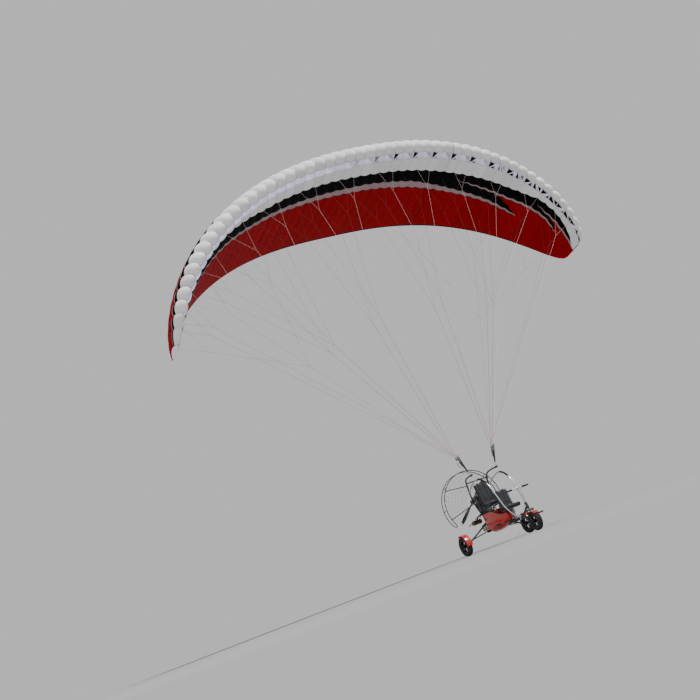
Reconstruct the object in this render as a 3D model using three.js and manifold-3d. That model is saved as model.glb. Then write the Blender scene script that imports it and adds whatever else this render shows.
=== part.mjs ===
// A two-seat paramotor: a three-wheeled buggy with a pusher engine under an inflated ram-air wing.
// Millimetres, +Z up, the nose points along -Y, and the craft's left side is +X.
// The origin is on the floor, midway between the outermost points of the whole craft.
import * as THREE from 'three';
import { mergeVertices } from 'three/addons/utils/BufferGeometryUtils.js';
import Module from 'manifold-3d';

const wasm = await Module();
wasm.setup();

const SEAT_GAP = 0.3; // clearance between pieces that rest on each other
const SIDES = [['left', 1], ['right', -1]];

// Wing
const HALF_SPAN = 6200; // along the curved middle line, from the centre to a tip
const ROOT_CHORD = 3500;
const TIP_CHORD = 680;
const PLAN_POWER = 1.84; // superellipse that the chord follows along the span
const TIP_SWEEP = 0.5; // part of the chord's loss that is taken from the leading edge
const TIP_LEAN = 1.23; // radians that the outermost cell is turned down
const LEAN_POWER = 1.47;
const WING_PITCH = 0.135; // radians, nose up
const WING_HEIGHT = 8700;
const WING_SETBACK = 600; // the wing flies behind the hang points under power
const THICKNESS_RATIO = 0.17;
const CAMBER_RATIO = 0.03;
const CLOTH = 1.5; // modelled thickness of skins and ribs
const TAIL_HALF_THICKNESS = 4;
const UPPER_LIP = -0.11; // signed square roots of the chord fraction: below zero is the lower side
const LOWER_LIP = -0.24; // the cell mouths lie between these two lips
const SECTIONS = [
  { name: 'right', from: -1, to: -0.36, steps: 8 },
  { name: 'centre', from: -0.36, to: 0.36, steps: 8 },
  { name: 'left', from: 0.36, to: 1, steps: 8 },
];
const RIB_EVERY = 2; // stations
const TIP_CROWDING = 1.5;

// Suspension lines and risers
const LINE_RADIUS = 2.5;
const MAIN_LINES = [
  { row: 'a', place: 'inner', root: -0.33, section: 1, station: 6 },
  { row: 'a', place: 'outer', root: -0.33, section: 2, station: 2 },
  { row: 'c', place: 'inner', root: -0.7, section: 1, station: 6 },
  { row: 'c', place: 'outer', root: -0.7, section: 2, station: 2 },
];
const RISER_LENGTH = 480;
const RISER_SPREAD = 75; // fore and aft distance between the strap tops
const HANG_X = 310;
const HANG_Z = 1500;

// Buggy
const AXLE_Y = 480;
const HALF_TRACK = 775;
const REAR_WHEEL = { radius: 215, width: 110, beadRadius: 125, hubHalf: 40, boreRadius: 10.5, pinRadius: 10 };
const FRONT_WHEEL = { radius: 190, width: 100, beadRadius: 108, hubHalf: 44, boreRadius: 9.5, pinRadius: 9 };
const KEEL = { half: 25, centreZ: 330, front: -790, rear: 790 };
const HEAD = new THREE.Vector3(0, -1120, 520);
const RAKE = THREE.MathUtils.degToRad(15);
const FRONT_DROP = 341.6; // from the head tube's middle down the steering axis to the wheel's centre
const FRAME_RADIUS = 16;
const UPRIGHT_PATH = [
  [41.5, 500, 308], [41.5, 500, 400], [130, 492, 640], [235, 476, 1000],
  [250, 452, 1330], [264, 395, 1455], [290, 200, 1498], [HANG_X, 30, HANG_Z], [HANG_X, -60, HANG_Z],
];
const SIDE_HOOP_RADIUS = 12.5;
const SIDE_HOOP_PATH = [
  [252, 462, 1205], [262, 200, 1325], [265, -120, 1375], [262, -400, 1230],
  [250, -570, 930], [226, -690, 650], [130, -748, 440], [37.8, -762, 362], [37.8, -764, 310],
];

// Engine and propeller
const THRUST_Z = 1030;
const CRANK_Z = 885;
const MOUNT_REAR_Y = 512;
const PROP_Y = 980;
const PROP_RADIUS = 610;
const PROP_REST = THREE.MathUtils.degToRad(220);
const HOOP = {
  radius: 675, tube: 9, frontY: 900, rearY: 1060, lowEnd: THREE.MathUtils.degToRad(-28),
  bridgeAngles: [0, 42, 90, 138, 180], bridgeRadius: 7, steps: 32, turnSteps: 8, sides: 8,
};

const vec = (x, y, z) => new THREE.Vector3(x, y, z);
const Y_AXIS = vec(0, 1, 0);
const Z_AXIS = vec(0, 0, 1);

// Solids from geometries, and back
function solid(geometry) {
  const bare = geometry.clone();
  for (const name of Object.keys(bare.attributes)) if (name !== 'position') bare.deleteAttribute(name);
  const merged = mergeVertices(bare, 1e-3);
  const mesh = new wasm.Mesh({
    numProp: 3,
    vertProperties: new Float32Array(merged.attributes.position.array),
    triVerts: new Uint32Array(merged.index.array),
  });
  return new wasm.Manifold(mesh);
}

function geometryOf(body) {
  const mesh = body.getMesh();
  const geometry = new THREE.BufferGeometry();
  geometry.setAttribute('position', new THREE.BufferAttribute(mesh.vertProperties, 3));
  geometry.setIndex(new THREE.BufferAttribute(mesh.triVerts, 1));
  return geometry;
}

const join = (first, ...others) => geometryOf(others.reduce((sum, next) => sum.add(solid(next)), solid(first)));
const cut = (base, ...tools) => geometryOf(tools.reduce((rest, tool) => rest.subtract(solid(tool)), solid(base)));

// Simple shapes
function rod(from, to, radius, sides = 12) {
  const direction = to.clone().sub(from);
  const geometry = new THREE.CylinderGeometry(radius, radius, direction.length(), sides);
  geometry.applyQuaternion(new THREE.Quaternion().setFromUnitVectors(Y_AXIS, direction.clone().normalize()));
  const middle = from.clone().lerp(to, 0.5);
  return geometry.translate(middle.x, middle.y, middle.z);
}

function box(xRange, yRange, zRange) {
  const size = (range) => range[1] - range[0];
  const middle = (range) => (range[0] + range[1]) / 2;
  const geometry = new THREE.BoxGeometry(size(xRange), size(yRange), size(zRange));
  return geometry.translate(middle(xRange), middle(yRange), middle(zRange));
}

function roundedBox(xRange, yRange, zRange, round, bevelSteps = 2) {
  const [width, depth] = [xRange[1] - xRange[0] - 2 * round, yRange[1] - yRange[0] - 2 * round];
  const outline = new THREE.Shape();
  outline.moveTo(-width / 2, -depth / 2).lineTo(width / 2, -depth / 2);
  outline.lineTo(width / 2, depth / 2).lineTo(-width / 2, depth / 2).closePath();
  const geometry = new THREE.ExtrudeGeometry(outline, {
    depth: zRange[1] - zRange[0] - 2 * round,
    bevelSize: round,
    bevelThickness: round,
    bevelSegments: bevelSteps,
  });
  return geometry.translate((xRange[0] + xRange[1]) / 2, (yRange[0] + yRange[1]) / 2, zRange[0] + round);
}

function circle(radius, sides) {
  const points = [];
  for (let i = 0; i < sides; i++) {
    const angle = (2 * Math.PI * i) / sides;
    points.push(new THREE.Vector2(radius * Math.cos(angle), radius * Math.sin(angle)));
  }
  return new THREE.Shape(points);
}

function pipe(path, radius, steps, sides = 10) {
  const points = path.map((point) => (point.isVector3 ? point : vec(...point)));
  const extrudePath = new THREE.CatmullRomCurve3(points);
  return new THREE.ExtrudeGeometry(circle(radius, sides), { steps, extrudePath });
}

const onSide = (path, side) => path.map(([x, y, z]) => vec(side * x, y, z));

// A closed body from rings of points, each ring with the same number of points
function loft(rings) {
  const count = rings[0].length;
  const positions = rings.flat().flatMap((point) => [point.x, point.y, point.z]);
  const indices = [];
  for (let ring = 0; ring + 1 < rings.length; ring++) {
    for (let i = 0; i < count; i++) {
      const next = (i + 1) % count;
      const [a, b] = [ring * count + i, ring * count + next];
      indices.push(a, b, b + count, a, b + count, a + count);
    }
  }
  const last = (rings.length - 1) * count;
  const cap = THREE.ShapeUtils.triangulateShape(flatten(rings[0]), []);
  for (const [a, b, c] of cap) indices.push(c, b, a, last + a, last + b, last + c);
  const geometry = new THREE.BufferGeometry();
  geometry.setAttribute('position', new THREE.Float32BufferAttribute(positions, 3));
  geometry.setIndex(indices);
  return solidFacingOut(geometry);
}

// The ring seen along its own normal, as 2-D points for triangulation
function flatten(ring) {
  const normal = vec(0, 0, 0);
  ring.forEach((point, i) => normal.add(point.clone().cross(ring[(i + 1) % ring.length])));
  const turn = new THREE.Quaternion().setFromUnitVectors(normal.normalize(), Z_AXIS);
  return ring.map((point) => {
    const flat = point.clone().applyQuaternion(turn);
    return new THREE.Vector2(flat.x, flat.y);
  });
}

function solidFacingOut(geometry) {
  const position = geometry.attributes.position;
  const index = geometry.index.array;
  const corner = (k) => new THREE.Vector3().fromBufferAttribute(position, index[k]);
  let volume = 0;
  for (let k = 0; k < index.length; k += 3) {
    volume += corner(k).dot(corner(k + 1).cross(corner(k + 2)));
  }
  if (volume < 0) {
    for (let k = 0; k < index.length; k += 3) [index[k], index[k + 1]] = [index[k + 1], index[k]];
  }
  return geometry;
}

// Materials
const finish = (color, roughness, metalness = 0) => new THREE.MeshStandardMaterial({ color, roughness, metalness });
const MATERIAL = {
  frameBlack: finish('#1c1d20', 0.45, 0.5),
  brightTube: finish('#c4c8cc', 0.28, 0.95),
  alloy: finish('#8f9396', 0.4, 0.9),
  engineDark: finish('#2b2d2e', 0.5, 0.6),
  steel: finish('#77736c', 0.35, 0.95),
  rubber: finish('#141414', 0.85),
  rimBlack: finish('#232427', 0.4, 0.6),
  redShell: finish('#c32a1a', 0.3),
  seatCloth: finish('#17181b', 0.9),
  carbon: finish('#15161a', 0.3),
  tankPlastic: finish('#d6d3c6', 0.4),
  wingRed: finish('#c8321f', 0.8),
  wingWhite: finish('#e4e4e2', 0.8),
  webbing: finish('#20242e', 0.9),
  line: finish('#e6d6da', 0.7),
};

const craft = new THREE.Group();

function add(parent, name, geometry, material) {
  const mesh = new THREE.Mesh(geometry, material);
  mesh.name = name;
  parent.add(mesh);
  return mesh;
}

// Wing: the curved middle line, integrated from the direction at each point of the span
const ARC_STEPS = 400;
const arc = [{ x: 0, z: 0 }];
for (let i = 0; i < ARC_STEPS; i++) {
  const lean = TIP_LEAN * ((i + 0.5) / ARC_STEPS) ** LEAN_POWER;
  const step = HALF_SPAN / ARC_STEPS;
  arc.push({ x: arc[i].x + step * Math.cos(lean), z: arc[i].z - step * Math.sin(lean) });
}

function station(span) {
  const side = Math.sign(span) || 1;
  const along = Math.min(Math.abs(span), 1) * ARC_STEPS;
  const index = Math.min(Math.floor(along), ARC_STEPS - 1);
  const part = along - index;
  const x = arc[index].x + part * (arc[index + 1].x - arc[index].x);
  const z = arc[index].z + part * (arc[index + 1].z - arc[index].z);
  const lean = TIP_LEAN * Math.abs(span) ** LEAN_POWER;
  const fullness = Math.max(0, 1 - Math.abs(span) ** PLAN_POWER) ** (1 / PLAN_POWER);
  const chord = TIP_CHORD + (ROOT_CHORD - TIP_CHORD) * fullness;
  const lead = -0.3 * ROOT_CHORD + TIP_SWEEP * (ROOT_CHORD - chord);
  const up = vec(side * Math.sin(lean), 0, Math.cos(lean));
  return { x: side * x, z, chord, lead, up };
}

// Height of the section above the chord line, over the chord, at a signed root of the chord fraction
function profileHeight(root) {
  const f = root * root;
  const polynomial = 0.2969 * Math.sqrt(f) - 0.126 * f - 0.3516 * f ** 2 + 0.2843 * f ** 3 - 0.1036 * f ** 4;
  const camber = CAMBER_RATIO * 5.6 * f * (1 - f) * (1 - 0.55 * f);
  return camber + Math.sign(root) * 5 * THICKNESS_RATIO * polynomial;
}

// A point of the skin: inset is the depth below the outer surface, measured in the section's plane
function skinPoint(span, root, inset) {
  const here = station(span);
  const flat = (r) => new THREE.Vector2(
    r * r * here.chord,
    profileHeight(r) * here.chord + Math.sign(r) * TAIL_HALF_THICKNESS * r * r,
  );
  const step = 0.002;
  const tangent = flat(Math.min(root + step, 1)).sub(flat(Math.max(root - step, -1))).normalize();
  const point = flat(root).add(new THREE.Vector2(tangent.y, -tangent.x).multiplyScalar(inset));
  return vec(here.x, here.lead + point.x, here.z).addScaledVector(here.up, point.y);
}

const UPPER_ROOTS = [UPPER_LIP, -0.05, 0.02, 0.1, 0.19, 0.3, 0.43, 0.57, 0.7, 0.82, 0.92, 1];
const LOWER_ROOTS = [-1, -0.92, -0.82, -0.7, -0.57, -0.44, -0.33, LOWER_LIP];

// The spans of a section's stations, which crowd together towards a tip
function stationSpans(section) {
  const spans = [];
  for (let i = 0; i <= section.steps; i++) {
    const t = i / section.steps;
    let eased = t;
    if (section.to === 1) eased = 1 - (1 - t) ** TIP_CROWDING;
    if (section.from === -1) eased = t ** TIP_CROWDING;
    spans.push(section.from + (section.to - section.from) * eased);
  }
  const edge = SEAT_GAP / 2 / HALF_SPAN;
  spans[0] += edge;
  spans[section.steps] -= edge;
  return spans;
}

// A point on the flat strip between two stations; place counts stations from the section's start
function stripPoint(spans, place, root, inset) {
  const index = Math.min(Math.floor(place), spans.length - 2);
  const start = skinPoint(spans[index], root, inset);
  return start.lerp(skinPoint(spans[index + 1], root, inset), place - index);
}

function skin(section, roots) {
  const rings = stationSpans(section).map((span) => {
    const outer = roots.map((root) => skinPoint(span, root, 0));
    const inner = roots.map((root) => skinPoint(span, root, CLOTH)).reverse();
    return [...outer, ...inner];
  });
  return loft(rings);
}

// A rib fills the section between the skins, clear of the upper one and fused to the lower one
function rib(spans, places) {
  return loft(places.map((place) => [
    ...UPPER_ROOTS.map((root) => stripPoint(spans, place, root, CLOTH + SEAT_GAP)),
    ...LOWER_ROOTS.map((root) => stripPoint(spans, place, root, CLOTH / 2)),
  ]));
}

function lowerSkinWithRibs(section) {
  const spans = stationSpans(section);
  const last = spans.length - 1;
  const width = (index) => CLOTH / ((spans[index + 1] - spans[index]) * HALF_SPAN);
  const ribs = [rib(spans, [0, width(0)]), rib(spans, [last - width(last - 1), last])];
  for (let i = RIB_EVERY; i < last; i += RIB_EVERY) {
    ribs.push(rib(spans, [i - width(i - 1) / 2, i, i + width(i) / 2]));
  }
  return join(skin(section, LOWER_ROOTS), ...ribs);
}

const wing = new THREE.Group();
wing.position.set(0, WING_SETBACK, WING_HEIGHT);
wing.rotation.x = -WING_PITCH;
wing.updateMatrixWorld();
craft.add(wing);
for (const section of SECTIONS) {
  add(wing, `wing_upper_skin_${section.name}`, skin(section, UPPER_ROOTS), MATERIAL.wingRed);
  add(wing, `wing_lower_skin_${section.name}`, lowerSkinWithRibs(section), MATERIAL.wingRed);
}

// Hang points: a ring round each arm, a webbing riser through the ring, and lines up to the wing
const RING = { halfInner: 19, halfOuter: 30, straight: 70, thickness: 10 };
const EYE = { inner: 12, outer: 17, width: 20 };

function stadium(half, straight) {
  const outline = new THREE.Shape();
  outline.absarc(0, straight, half, 0, Math.PI, false);
  outline.absarc(0, 0, half, Math.PI, 2 * Math.PI, false);
  return outline;
}

function flatRing(outer, inner, straight, thickness) {
  const outline = stadium(outer, straight);
  outline.holes.push(stadium(inner, straight));
  const options = { depth: thickness, bevelEnabled: false, curveSegments: 6 };
  return new THREE.ExtrudeGeometry(outline, options).translate(0, 0, -thickness / 2);
}

// In the riser's own frame +Z runs up the riser, +Y aft and +X outwards or inwards by side
function riserFrame(side) {
  const tops = MAIN_LINES.map((line) => lineTop(line, side));
  const goal = tops.reduce((sum, top) => sum.add(top), vec(0, 0, 0)).divideScalar(tops.length);
  const origin = vec(side * HANG_X, 0, HANG_Z);
  const up = goal.sub(origin).normalize();
  const aft = Y_AXIS.clone().addScaledVector(up, -Y_AXIS.dot(up)).normalize();
  const across = aft.clone().cross(up);
  return new THREE.Matrix4().makeBasis(across, aft, up).setPosition(origin);
}

function lineTop(line, side) {
  const span = side * stationSpans(SECTIONS[line.section])[line.station];
  return skinPoint(span, line.root, -SEAT_GAP).applyMatrix4(wing.matrixWorld);
}

const RING_FOOT = -FRAME_RADIUS - SEAT_GAP - 0.7; // the leaning ring hugs the arm from below
const RING_TOP = RING_FOOT + 2 * RING.halfInner + RING.straight;
const EYE_SETTLE = 4.5; // the eye's edges meet the ring's curved top before its middle does
const EYE_CENTRE = RING_TOP - EYE_SETTLE + EYE.inner;

function hangRing() {
  const ring = flatRing(RING.halfOuter, RING.halfInner, RING.straight, RING.thickness);
  return ring.rotateX(Math.PI / 2).translate(0, 0, RING_FOOT + RING.halfInner);
}

function riser() {
  const eye = flatRing(EYE.outer, EYE.inner, 10, EYE.width).rotateX(Math.PI / 2).rotateZ(Math.PI / 2);
  const foot = vec(0, 0, EYE_CENTRE + 10 + EYE.inner + 2);
  const pieces = [];
  for (const place of [-1, 0, 1]) {
    const top = vec(0, place * RISER_SPREAD, RISER_LENGTH);
    const strap = new THREE.BoxGeometry(22, 6, top.distanceTo(foot) + 4);
    strap.applyQuaternion(new THREE.Quaternion().setFromUnitVectors(Z_AXIS, top.clone().sub(foot).normalize()));
    const middle = top.clone().lerp(foot, 0.5);
    pieces.push(strap.translate(middle.x, middle.y, middle.z));
    pieces.push(box([-16, 16], [top.y - 5, top.y + 5], [RISER_LENGTH - 6, RISER_LENGTH + 22]));
  }
  return join(eye.translate(0, 0, EYE_CENTRE), ...pieces);
}

// A taut line, pointed at both ends
function tautLine(from, to) {
  const length = from.distanceTo(to);
  const profile = [
    new THREE.Vector2(0, 0), new THREE.Vector2(LINE_RADIUS, 12),
    new THREE.Vector2(LINE_RADIUS, length - 12), new THREE.Vector2(0, length),
  ];
  const geometry = new THREE.LatheGeometry(profile, 6);
  const direction = to.clone().sub(from).normalize();
  geometry.applyQuaternion(new THREE.Quaternion().setFromUnitVectors(Y_AXIS, direction));
  return geometry.translate(from.x, from.y, from.z);
}

for (const [sideName, side] of SIDES) {
  const frame = riserFrame(side);
  add(craft, `hang_ring_${sideName}`, hangRing().applyMatrix4(frame), MATERIAL.steel);
  add(craft, `riser_${sideName}`, riser().applyMatrix4(frame), MATERIAL.webbing);
  for (const line of MAIN_LINES) {
    const rowY = line.row === 'a' ? -RISER_SPREAD : RISER_SPREAD;
    const inner = line.place === 'inner' ? -1 : 1;
    const foot = vec(side * inner * 10, rowY, RISER_LENGTH + 22 + SEAT_GAP).applyMatrix4(frame);
    const name = `line_${line.row}_${line.place}_${sideName}`;
    add(craft, name, tautLine(foot, lineTop(line, side)), MATERIAL.line);
  }
}

// Buggy frame
const KEEL_RANGE = [KEEL.centreZ - KEEL.half, KEEL.centreZ + KEEL.half];
const KEEL_TOP = KEEL_RANGE[1];
const keelBox = (grow) => box(
  [-KEEL.half - grow, KEEL.half + grow],
  [KEEL.front - grow, KEEL.rear + grow],
  [KEEL_RANGE[0] - grow, KEEL_RANGE[1] + grow],
);
const steeringFrame = new THREE.Matrix4().makeRotationX(-RAKE).setPosition(HEAD);

function keel() {
  const headOuter = rod(vec(0, 0, -55), vec(0, 0, 55), 25, 20).applyMatrix4(steeringFrame);
  const headBore = rod(vec(0, 0, -80), vec(0, 0, 80), 14.5, 20).applyMatrix4(steeringFrame);
  const neck = rod(vec(0, KEEL.front + 15, KEEL.centreZ), vec(0, HEAD.y, HEAD.z - 8), 22, 14);
  const knee = new THREE.SphereGeometry(24.5, 14, 8).translate(0, KEEL.front + 14, KEEL.centreZ);
  return cut(join(keelBox(0), neck, knee, headOuter), headBore);
}

const upright = (side, grow = 0) => pipe(onSide(UPRIGHT_PATH, side), FRAME_RADIUS + grow, 26, 8);
const bothUprights = () => [upright(1, SEAT_GAP), upright(-1, SEAT_GAP)];

function engineMount() {
  const plate = box([-140, 140], [MOUNT_REAR_Y - 10, MOUNT_REAR_Y], [700, 1130]);
  const lowBar = box([-158, 158], [480, MOUNT_REAR_Y - 8], [742, 768]);
  const highBar = box([-236, 236], [468, MOUNT_REAR_Y - 8], [1072, 1098]);
  return cut(join(plate, lowBar, highBar), ...bothUprights());
}

const sideHoop = (side, grow = 0) => pipe(onSide(SIDE_HOOP_PATH, side), SIDE_HOOP_RADIUS + grow, 24, 8);

add(craft, 'keel', keel(), MATERIAL.frameBlack);
add(craft, 'engine_mount', engineMount(), MATERIAL.alloy);
add(craft, 'top_cross_bar', cut(rod(vec(-258, 425, 1398), vec(258, 425, 1398), 14), ...bothUprights()),
  MATERIAL.frameBlack);
for (const [sideName, side] of SIDES) {
  add(craft, `upright_${sideName}`, cut(upright(side), keelBox(SEAT_GAP)), MATERIAL.frameBlack);
  add(craft, `side_hoop_${sideName}`, cut(sideHoop(side), keelBox(SEAT_GAP), upright(side, SEAT_GAP)),
    MATERIAL.brightTube);
}

const WHEEL_SEGMENTS = 28;

// Wheels: a ring profile turned about the wheel's own axle, which lies along X
function turned(profile, segments) {
  const closed = [...profile, profile[0]].map(([x, radius]) => new THREE.Vector2(radius, x));
  return solidFacingOut(new THREE.LatheGeometry(closed, segments).rotateZ(-Math.PI / 2));
}

function tyre(wheel) {
  const half = wheel.width / 2;
  const rise = wheel.radius - wheel.beadRadius;
  const shape = [
    [0.62, 0], [0.86, 0.18], [1, 0.48], [0.93, 0.76], [0.66, 0.95], [0.25, 1],
  ];
  const right = shape.map(([across, up]) => [across * half, wheel.beadRadius + up * rise]);
  const left = right.map(([x, radius]) => [-x, radius]).reverse();
  return turned([...right, ...left], WHEEL_SEGMENTS);
}

function rim(wheel) {
  const half = wheel.width / 2;
  const bead = wheel.beadRadius - SEAT_GAP;
  const hub = wheel.boreRadius + 16;
  const right = [
    [wheel.hubHalf, wheel.boreRadius], [wheel.hubHalf, hub], [12, hub + 8], [9, bead - 24],
    [half * 0.6, bead - 12], [half * 0.6, bead],
  ];
  const left = right.map(([x, radius]) => [-x, radius]).reverse();
  return turned([...right, ...left], WHEEL_SEGMENTS);
}

function mudguard(wheel, clearance, halfWidth, fromAngle, toAngle) {
  const outline = new THREE.Shape();
  const inner = wheel.radius + clearance;
  outline.absarc(0, 0, inner + 4, fromAngle, toAngle, false);
  outline.absarc(0, 0, inner, toAngle, fromAngle, true);
  const options = { depth: 2 * halfWidth, bevelEnabled: false, curveSegments: 10 };
  const shell = new THREE.ExtrudeGeometry(outline, options).translate(0, 0, -halfWidth);
  return shell.rotateY(Math.PI / 2).rotateX(Math.PI / 2);
}

const LEG_TOP = [92, 497, 520];
const LEG_END_X = HALF_TRACK - REAR_WHEEL.hubHalf - 22;
const GUARD_STAY_X = HALF_TRACK - REAR_WHEEL.width / 2 - 12;

function rearLeg(side) {
  const foot = vec(side * LEG_END_X, AXLE_Y, REAR_WHEEL.radius);
  const tube = rod(vec(side * LEG_TOP[0], LEG_TOP[1], LEG_TOP[2]), foot, 18);
  const boss = rod(vec(side * (LEG_END_X - 26), AXLE_Y, foot.z), vec(side * (LEG_END_X + 10), AXLE_Y, foot.z), 24, 16);
  const pin = rod(foot, vec(side * (HALF_TRACK + REAR_WHEEL.hubHalf + 12), AXLE_Y, foot.z), REAR_WHEEL.pinRadius, 16);
  return cut(join(tube, boss, pin), upright(side, SEAT_GAP));
}

function rearMudguard(side) {
  const shell = mudguard(REAR_WHEEL, 14, 62, THREE.MathUtils.degToRad(62), THREE.MathUtils.degToRad(185));
  shell.translate(side * HALF_TRACK, AXLE_Y, REAR_WHEEL.radius);
  const reach = REAR_WHEEL.radius + 16;
  const turn = THREE.MathUtils.degToRad(112);
  const top = vec(side * (HALF_TRACK - 60), AXLE_Y + reach * Math.cos(turn), REAR_WHEEL.radius + reach * Math.sin(turn));
  const stayTop = vec(side * GUARD_STAY_X, top.y, top.z);
  const stay = rod(vec(side * GUARD_STAY_X, AXLE_Y, REAR_WHEEL.radius + 25.2 + SEAT_GAP), stayTop, 5, 8);
  return join(shell, stay, rod(stayTop, top, 5, 8), new THREE.SphereGeometry(5, 8, 6).translate(...stayTop.toArray()));
}

for (const [sideName, side] of SIDES) {
  add(craft, `rear_leg_${sideName}`, rearLeg(side), MATERIAL.frameBlack);
  add(craft, `rear_mudguard_${sideName}`, rearMudguard(side), MATERIAL.redShell);
  add(craft, `rear_rim_${sideName}`, rim(REAR_WHEEL), MATERIAL.rimBlack)
    .position.set(side * HALF_TRACK, AXLE_Y, REAR_WHEEL.radius);
  add(craft, `rear_tyre_${sideName}`, tyre(REAR_WHEEL), MATERIAL.rubber)
    .position.set(side * HALF_TRACK, AXLE_Y, REAR_WHEEL.radius);
}

// Steering: fork, wheel, mudguard and handlebar about the raked axis
const steering = new THREE.Group();
steering.position.copy(HEAD);
steering.rotation.x = -RAKE;
craft.add(steering);
const CROWN_Z = [-112, -84];
const STEM_JOIN_Z = 70;

function fork() {
  const pieces = [rod(vec(0, 0, CROWN_Z[0]), vec(0, 0, STEM_JOIN_Z), 14, 16)];
  for (const side of [1, -1]) {
    pieces.push(rod(vec(side * 72, 0, CROWN_Z[1] - 6), vec(side * 72, 0, -FRONT_DROP - 18), 12));
    pieces.push(rod(vec(side * 72, 0, -215), vec(side * 250, 0, -215), 10));
  }
  const axle = rod(vec(-84, 0, -FRONT_DROP), vec(84, 0, -FRONT_DROP), FRONT_WHEEL.pinRadius, 16);
  return join(box([-86, 86], [-22, 22], CROWN_Z), axle, ...pieces);
}

function frontMudguard() {
  const shell = mudguard(FRONT_WHEEL, 10, 56, THREE.MathUtils.degToRad(40), THREE.MathUtils.degToRad(150));
  const post = rod(vec(0, 0, FRONT_WHEEL.radius + 12), vec(0, 0, FRONT_DROP + CROWN_Z[0] - SEAT_GAP), 12, 12);
  return join(shell, post);
}

function handlebar() {
  const stem = rod(vec(0, 0, STEM_JOIN_Z + SEAT_GAP), vec(0, 0, 392), 14, 16);
  return join(stem, rod(vec(-250, 0, 392), vec(250, 0, 392), 12, 14));
}

add(steering, 'fork', fork(), MATERIAL.frameBlack);
add(steering, 'handlebar', handlebar(), MATERIAL.brightTube);
add(steering, 'front_mudguard', frontMudguard(), MATERIAL.redShell).position.z = -FRONT_DROP;
add(steering, 'front_rim', rim(FRONT_WHEEL), MATERIAL.rimBlack).position.z = -FRONT_DROP;
add(steering, 'front_tyre', tyre(FRONT_WHEEL), MATERIAL.rubber).position.z = -FRONT_DROP;

// Belly pod: a boat-shaped shell round the keel, open on top
const POD = { bow: -400, stern: 392, halfWidth: 200, bottom: 258, bowRim: 555, sternRim: 690, wall: 5 };

function podRings(shrink) {
  const rings = [];
  const steps = 8;
  for (let i = 0; i <= steps; i++) {
    const along = i / steps;
    const fullness = Math.sin((0.12 + 0.5 * along) * Math.PI) ** 0.7;
    const half = POD.halfWidth * Math.min(1, fullness) - shrink;
    const y = POD.bow + shrink + (POD.stern - POD.bow - 2 * shrink) * along;
    const keelLift = 150 * (1 - along) ** 3;
    const bottom = POD.bottom + keelLift + shrink;
    const rim = POD.bowRim + (POD.sternRim - POD.bowRim) * THREE.MathUtils.smoothstep(along, 0.1, 0.6);
    const shoulder = rim - 0.42 * (rim - bottom);
    const top = shrink ? rim + 60 : rim;
    const ring = [vec(-half, y, top)];
    for (let k = 0; k <= 8; k++) {
      const angle = Math.PI + (Math.PI * k) / 8;
      ring.push(vec(half * Math.cos(angle), y, shoulder + (shoulder - bottom) * Math.sin(angle)));
    }
    ring.push(vec(half, y, top));
    rings.push(ring);
  }
  return rings;
}

add(craft, 'belly_pod', cut(loft(podRings(0)), loft(podRings(POD.wall)), keelBox(SEAT_GAP)), MATERIAL.redShell);

// Seats
const REAR_SEAT_Z = 798.4;
const FRONT_SEAT_Z = 590;

function seat(frontY, rearY, baseZ, half, backHeight) {
  const cushion = roundedBox([-half, half], [frontY, rearY], [baseZ, baseZ + 70], 16);
  const back = roundedBox([-half, half], [-30, 30], [0, backHeight], 14).rotateX(-0.2);
  back.translate(0, rearY - 22, baseZ + 30);
  return join(cushion, back);
}

function rearSeatFrame() {
  const pieces = [];
  for (const side of [1, -1]) {
    pieces.push(pipe(onSide([
      [178, 494, 762], [160, 300, 780], [150, 60, 784], [148, -90, 776],
      [130, -135, 700], [70, -140, 500], [38, -140, 380], [38, -140, 330],
    ], side), 11, 16, 8));
  }
  pieces.push(rod(vec(-152, 30, 784), vec(152, 30, 784), 10));
  pieces.push(rod(vec(-148, -80, 778), vec(148, -80, 778), 10));
  return cut(join(...pieces), keelBox(SEAT_GAP), ...bothUprights());
}

function frontSeatFrame() {
  const pan = box([-150, 150], [-650, -380], [FRONT_SEAT_Z - 8 - SEAT_GAP, FRONT_SEAT_Z - SEAT_GAP]);
  const post = box([-22, 22], [-540, -490], [KEEL_TOP + SEAT_GAP, FRONT_SEAT_Z - 4]);
  return join(pan, post);
}

add(craft, 'rear_seat_frame', rearSeatFrame(), MATERIAL.frameBlack);
add(craft, 'rear_seat', seat(-110, 270, REAR_SEAT_Z, 190, 500), MATERIAL.seatCloth);
add(craft, 'front_seat_frame', frontSeatFrame(), MATERIAL.alloy);
add(craft, 'front_seat', seat(-680, -350, FRONT_SEAT_Z, 165, 400), MATERIAL.seatCloth);

// Footrests of the rear seat, on a bar across the keel
function footrestBar() {
  const barZ = KEEL_TOP + SEAT_GAP + 12;
  const pieces = [rod(vec(-420, -435, barZ), vec(420, -435, barZ), 12)];
  for (const side of [1, -1]) {
    const inner = side > 0 ? 320 : -425;
    pieces.push(box([inner, inner + 105], [-490, -385], [barZ + 6, barZ + 14]));
  }
  return join(...pieces);
}

add(craft, 'rear_footrest_bar', footrestBar(), MATERIAL.frameBlack);

// Engine, tank, exhaust and reduction drive
const BLOCK_Y = [MOUNT_REAR_Y + SEAT_GAP, 690];
const CYLINDER = { centreY: 610, radius: 72, bottom: 615, top: 790 - SEAT_GAP };

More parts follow.
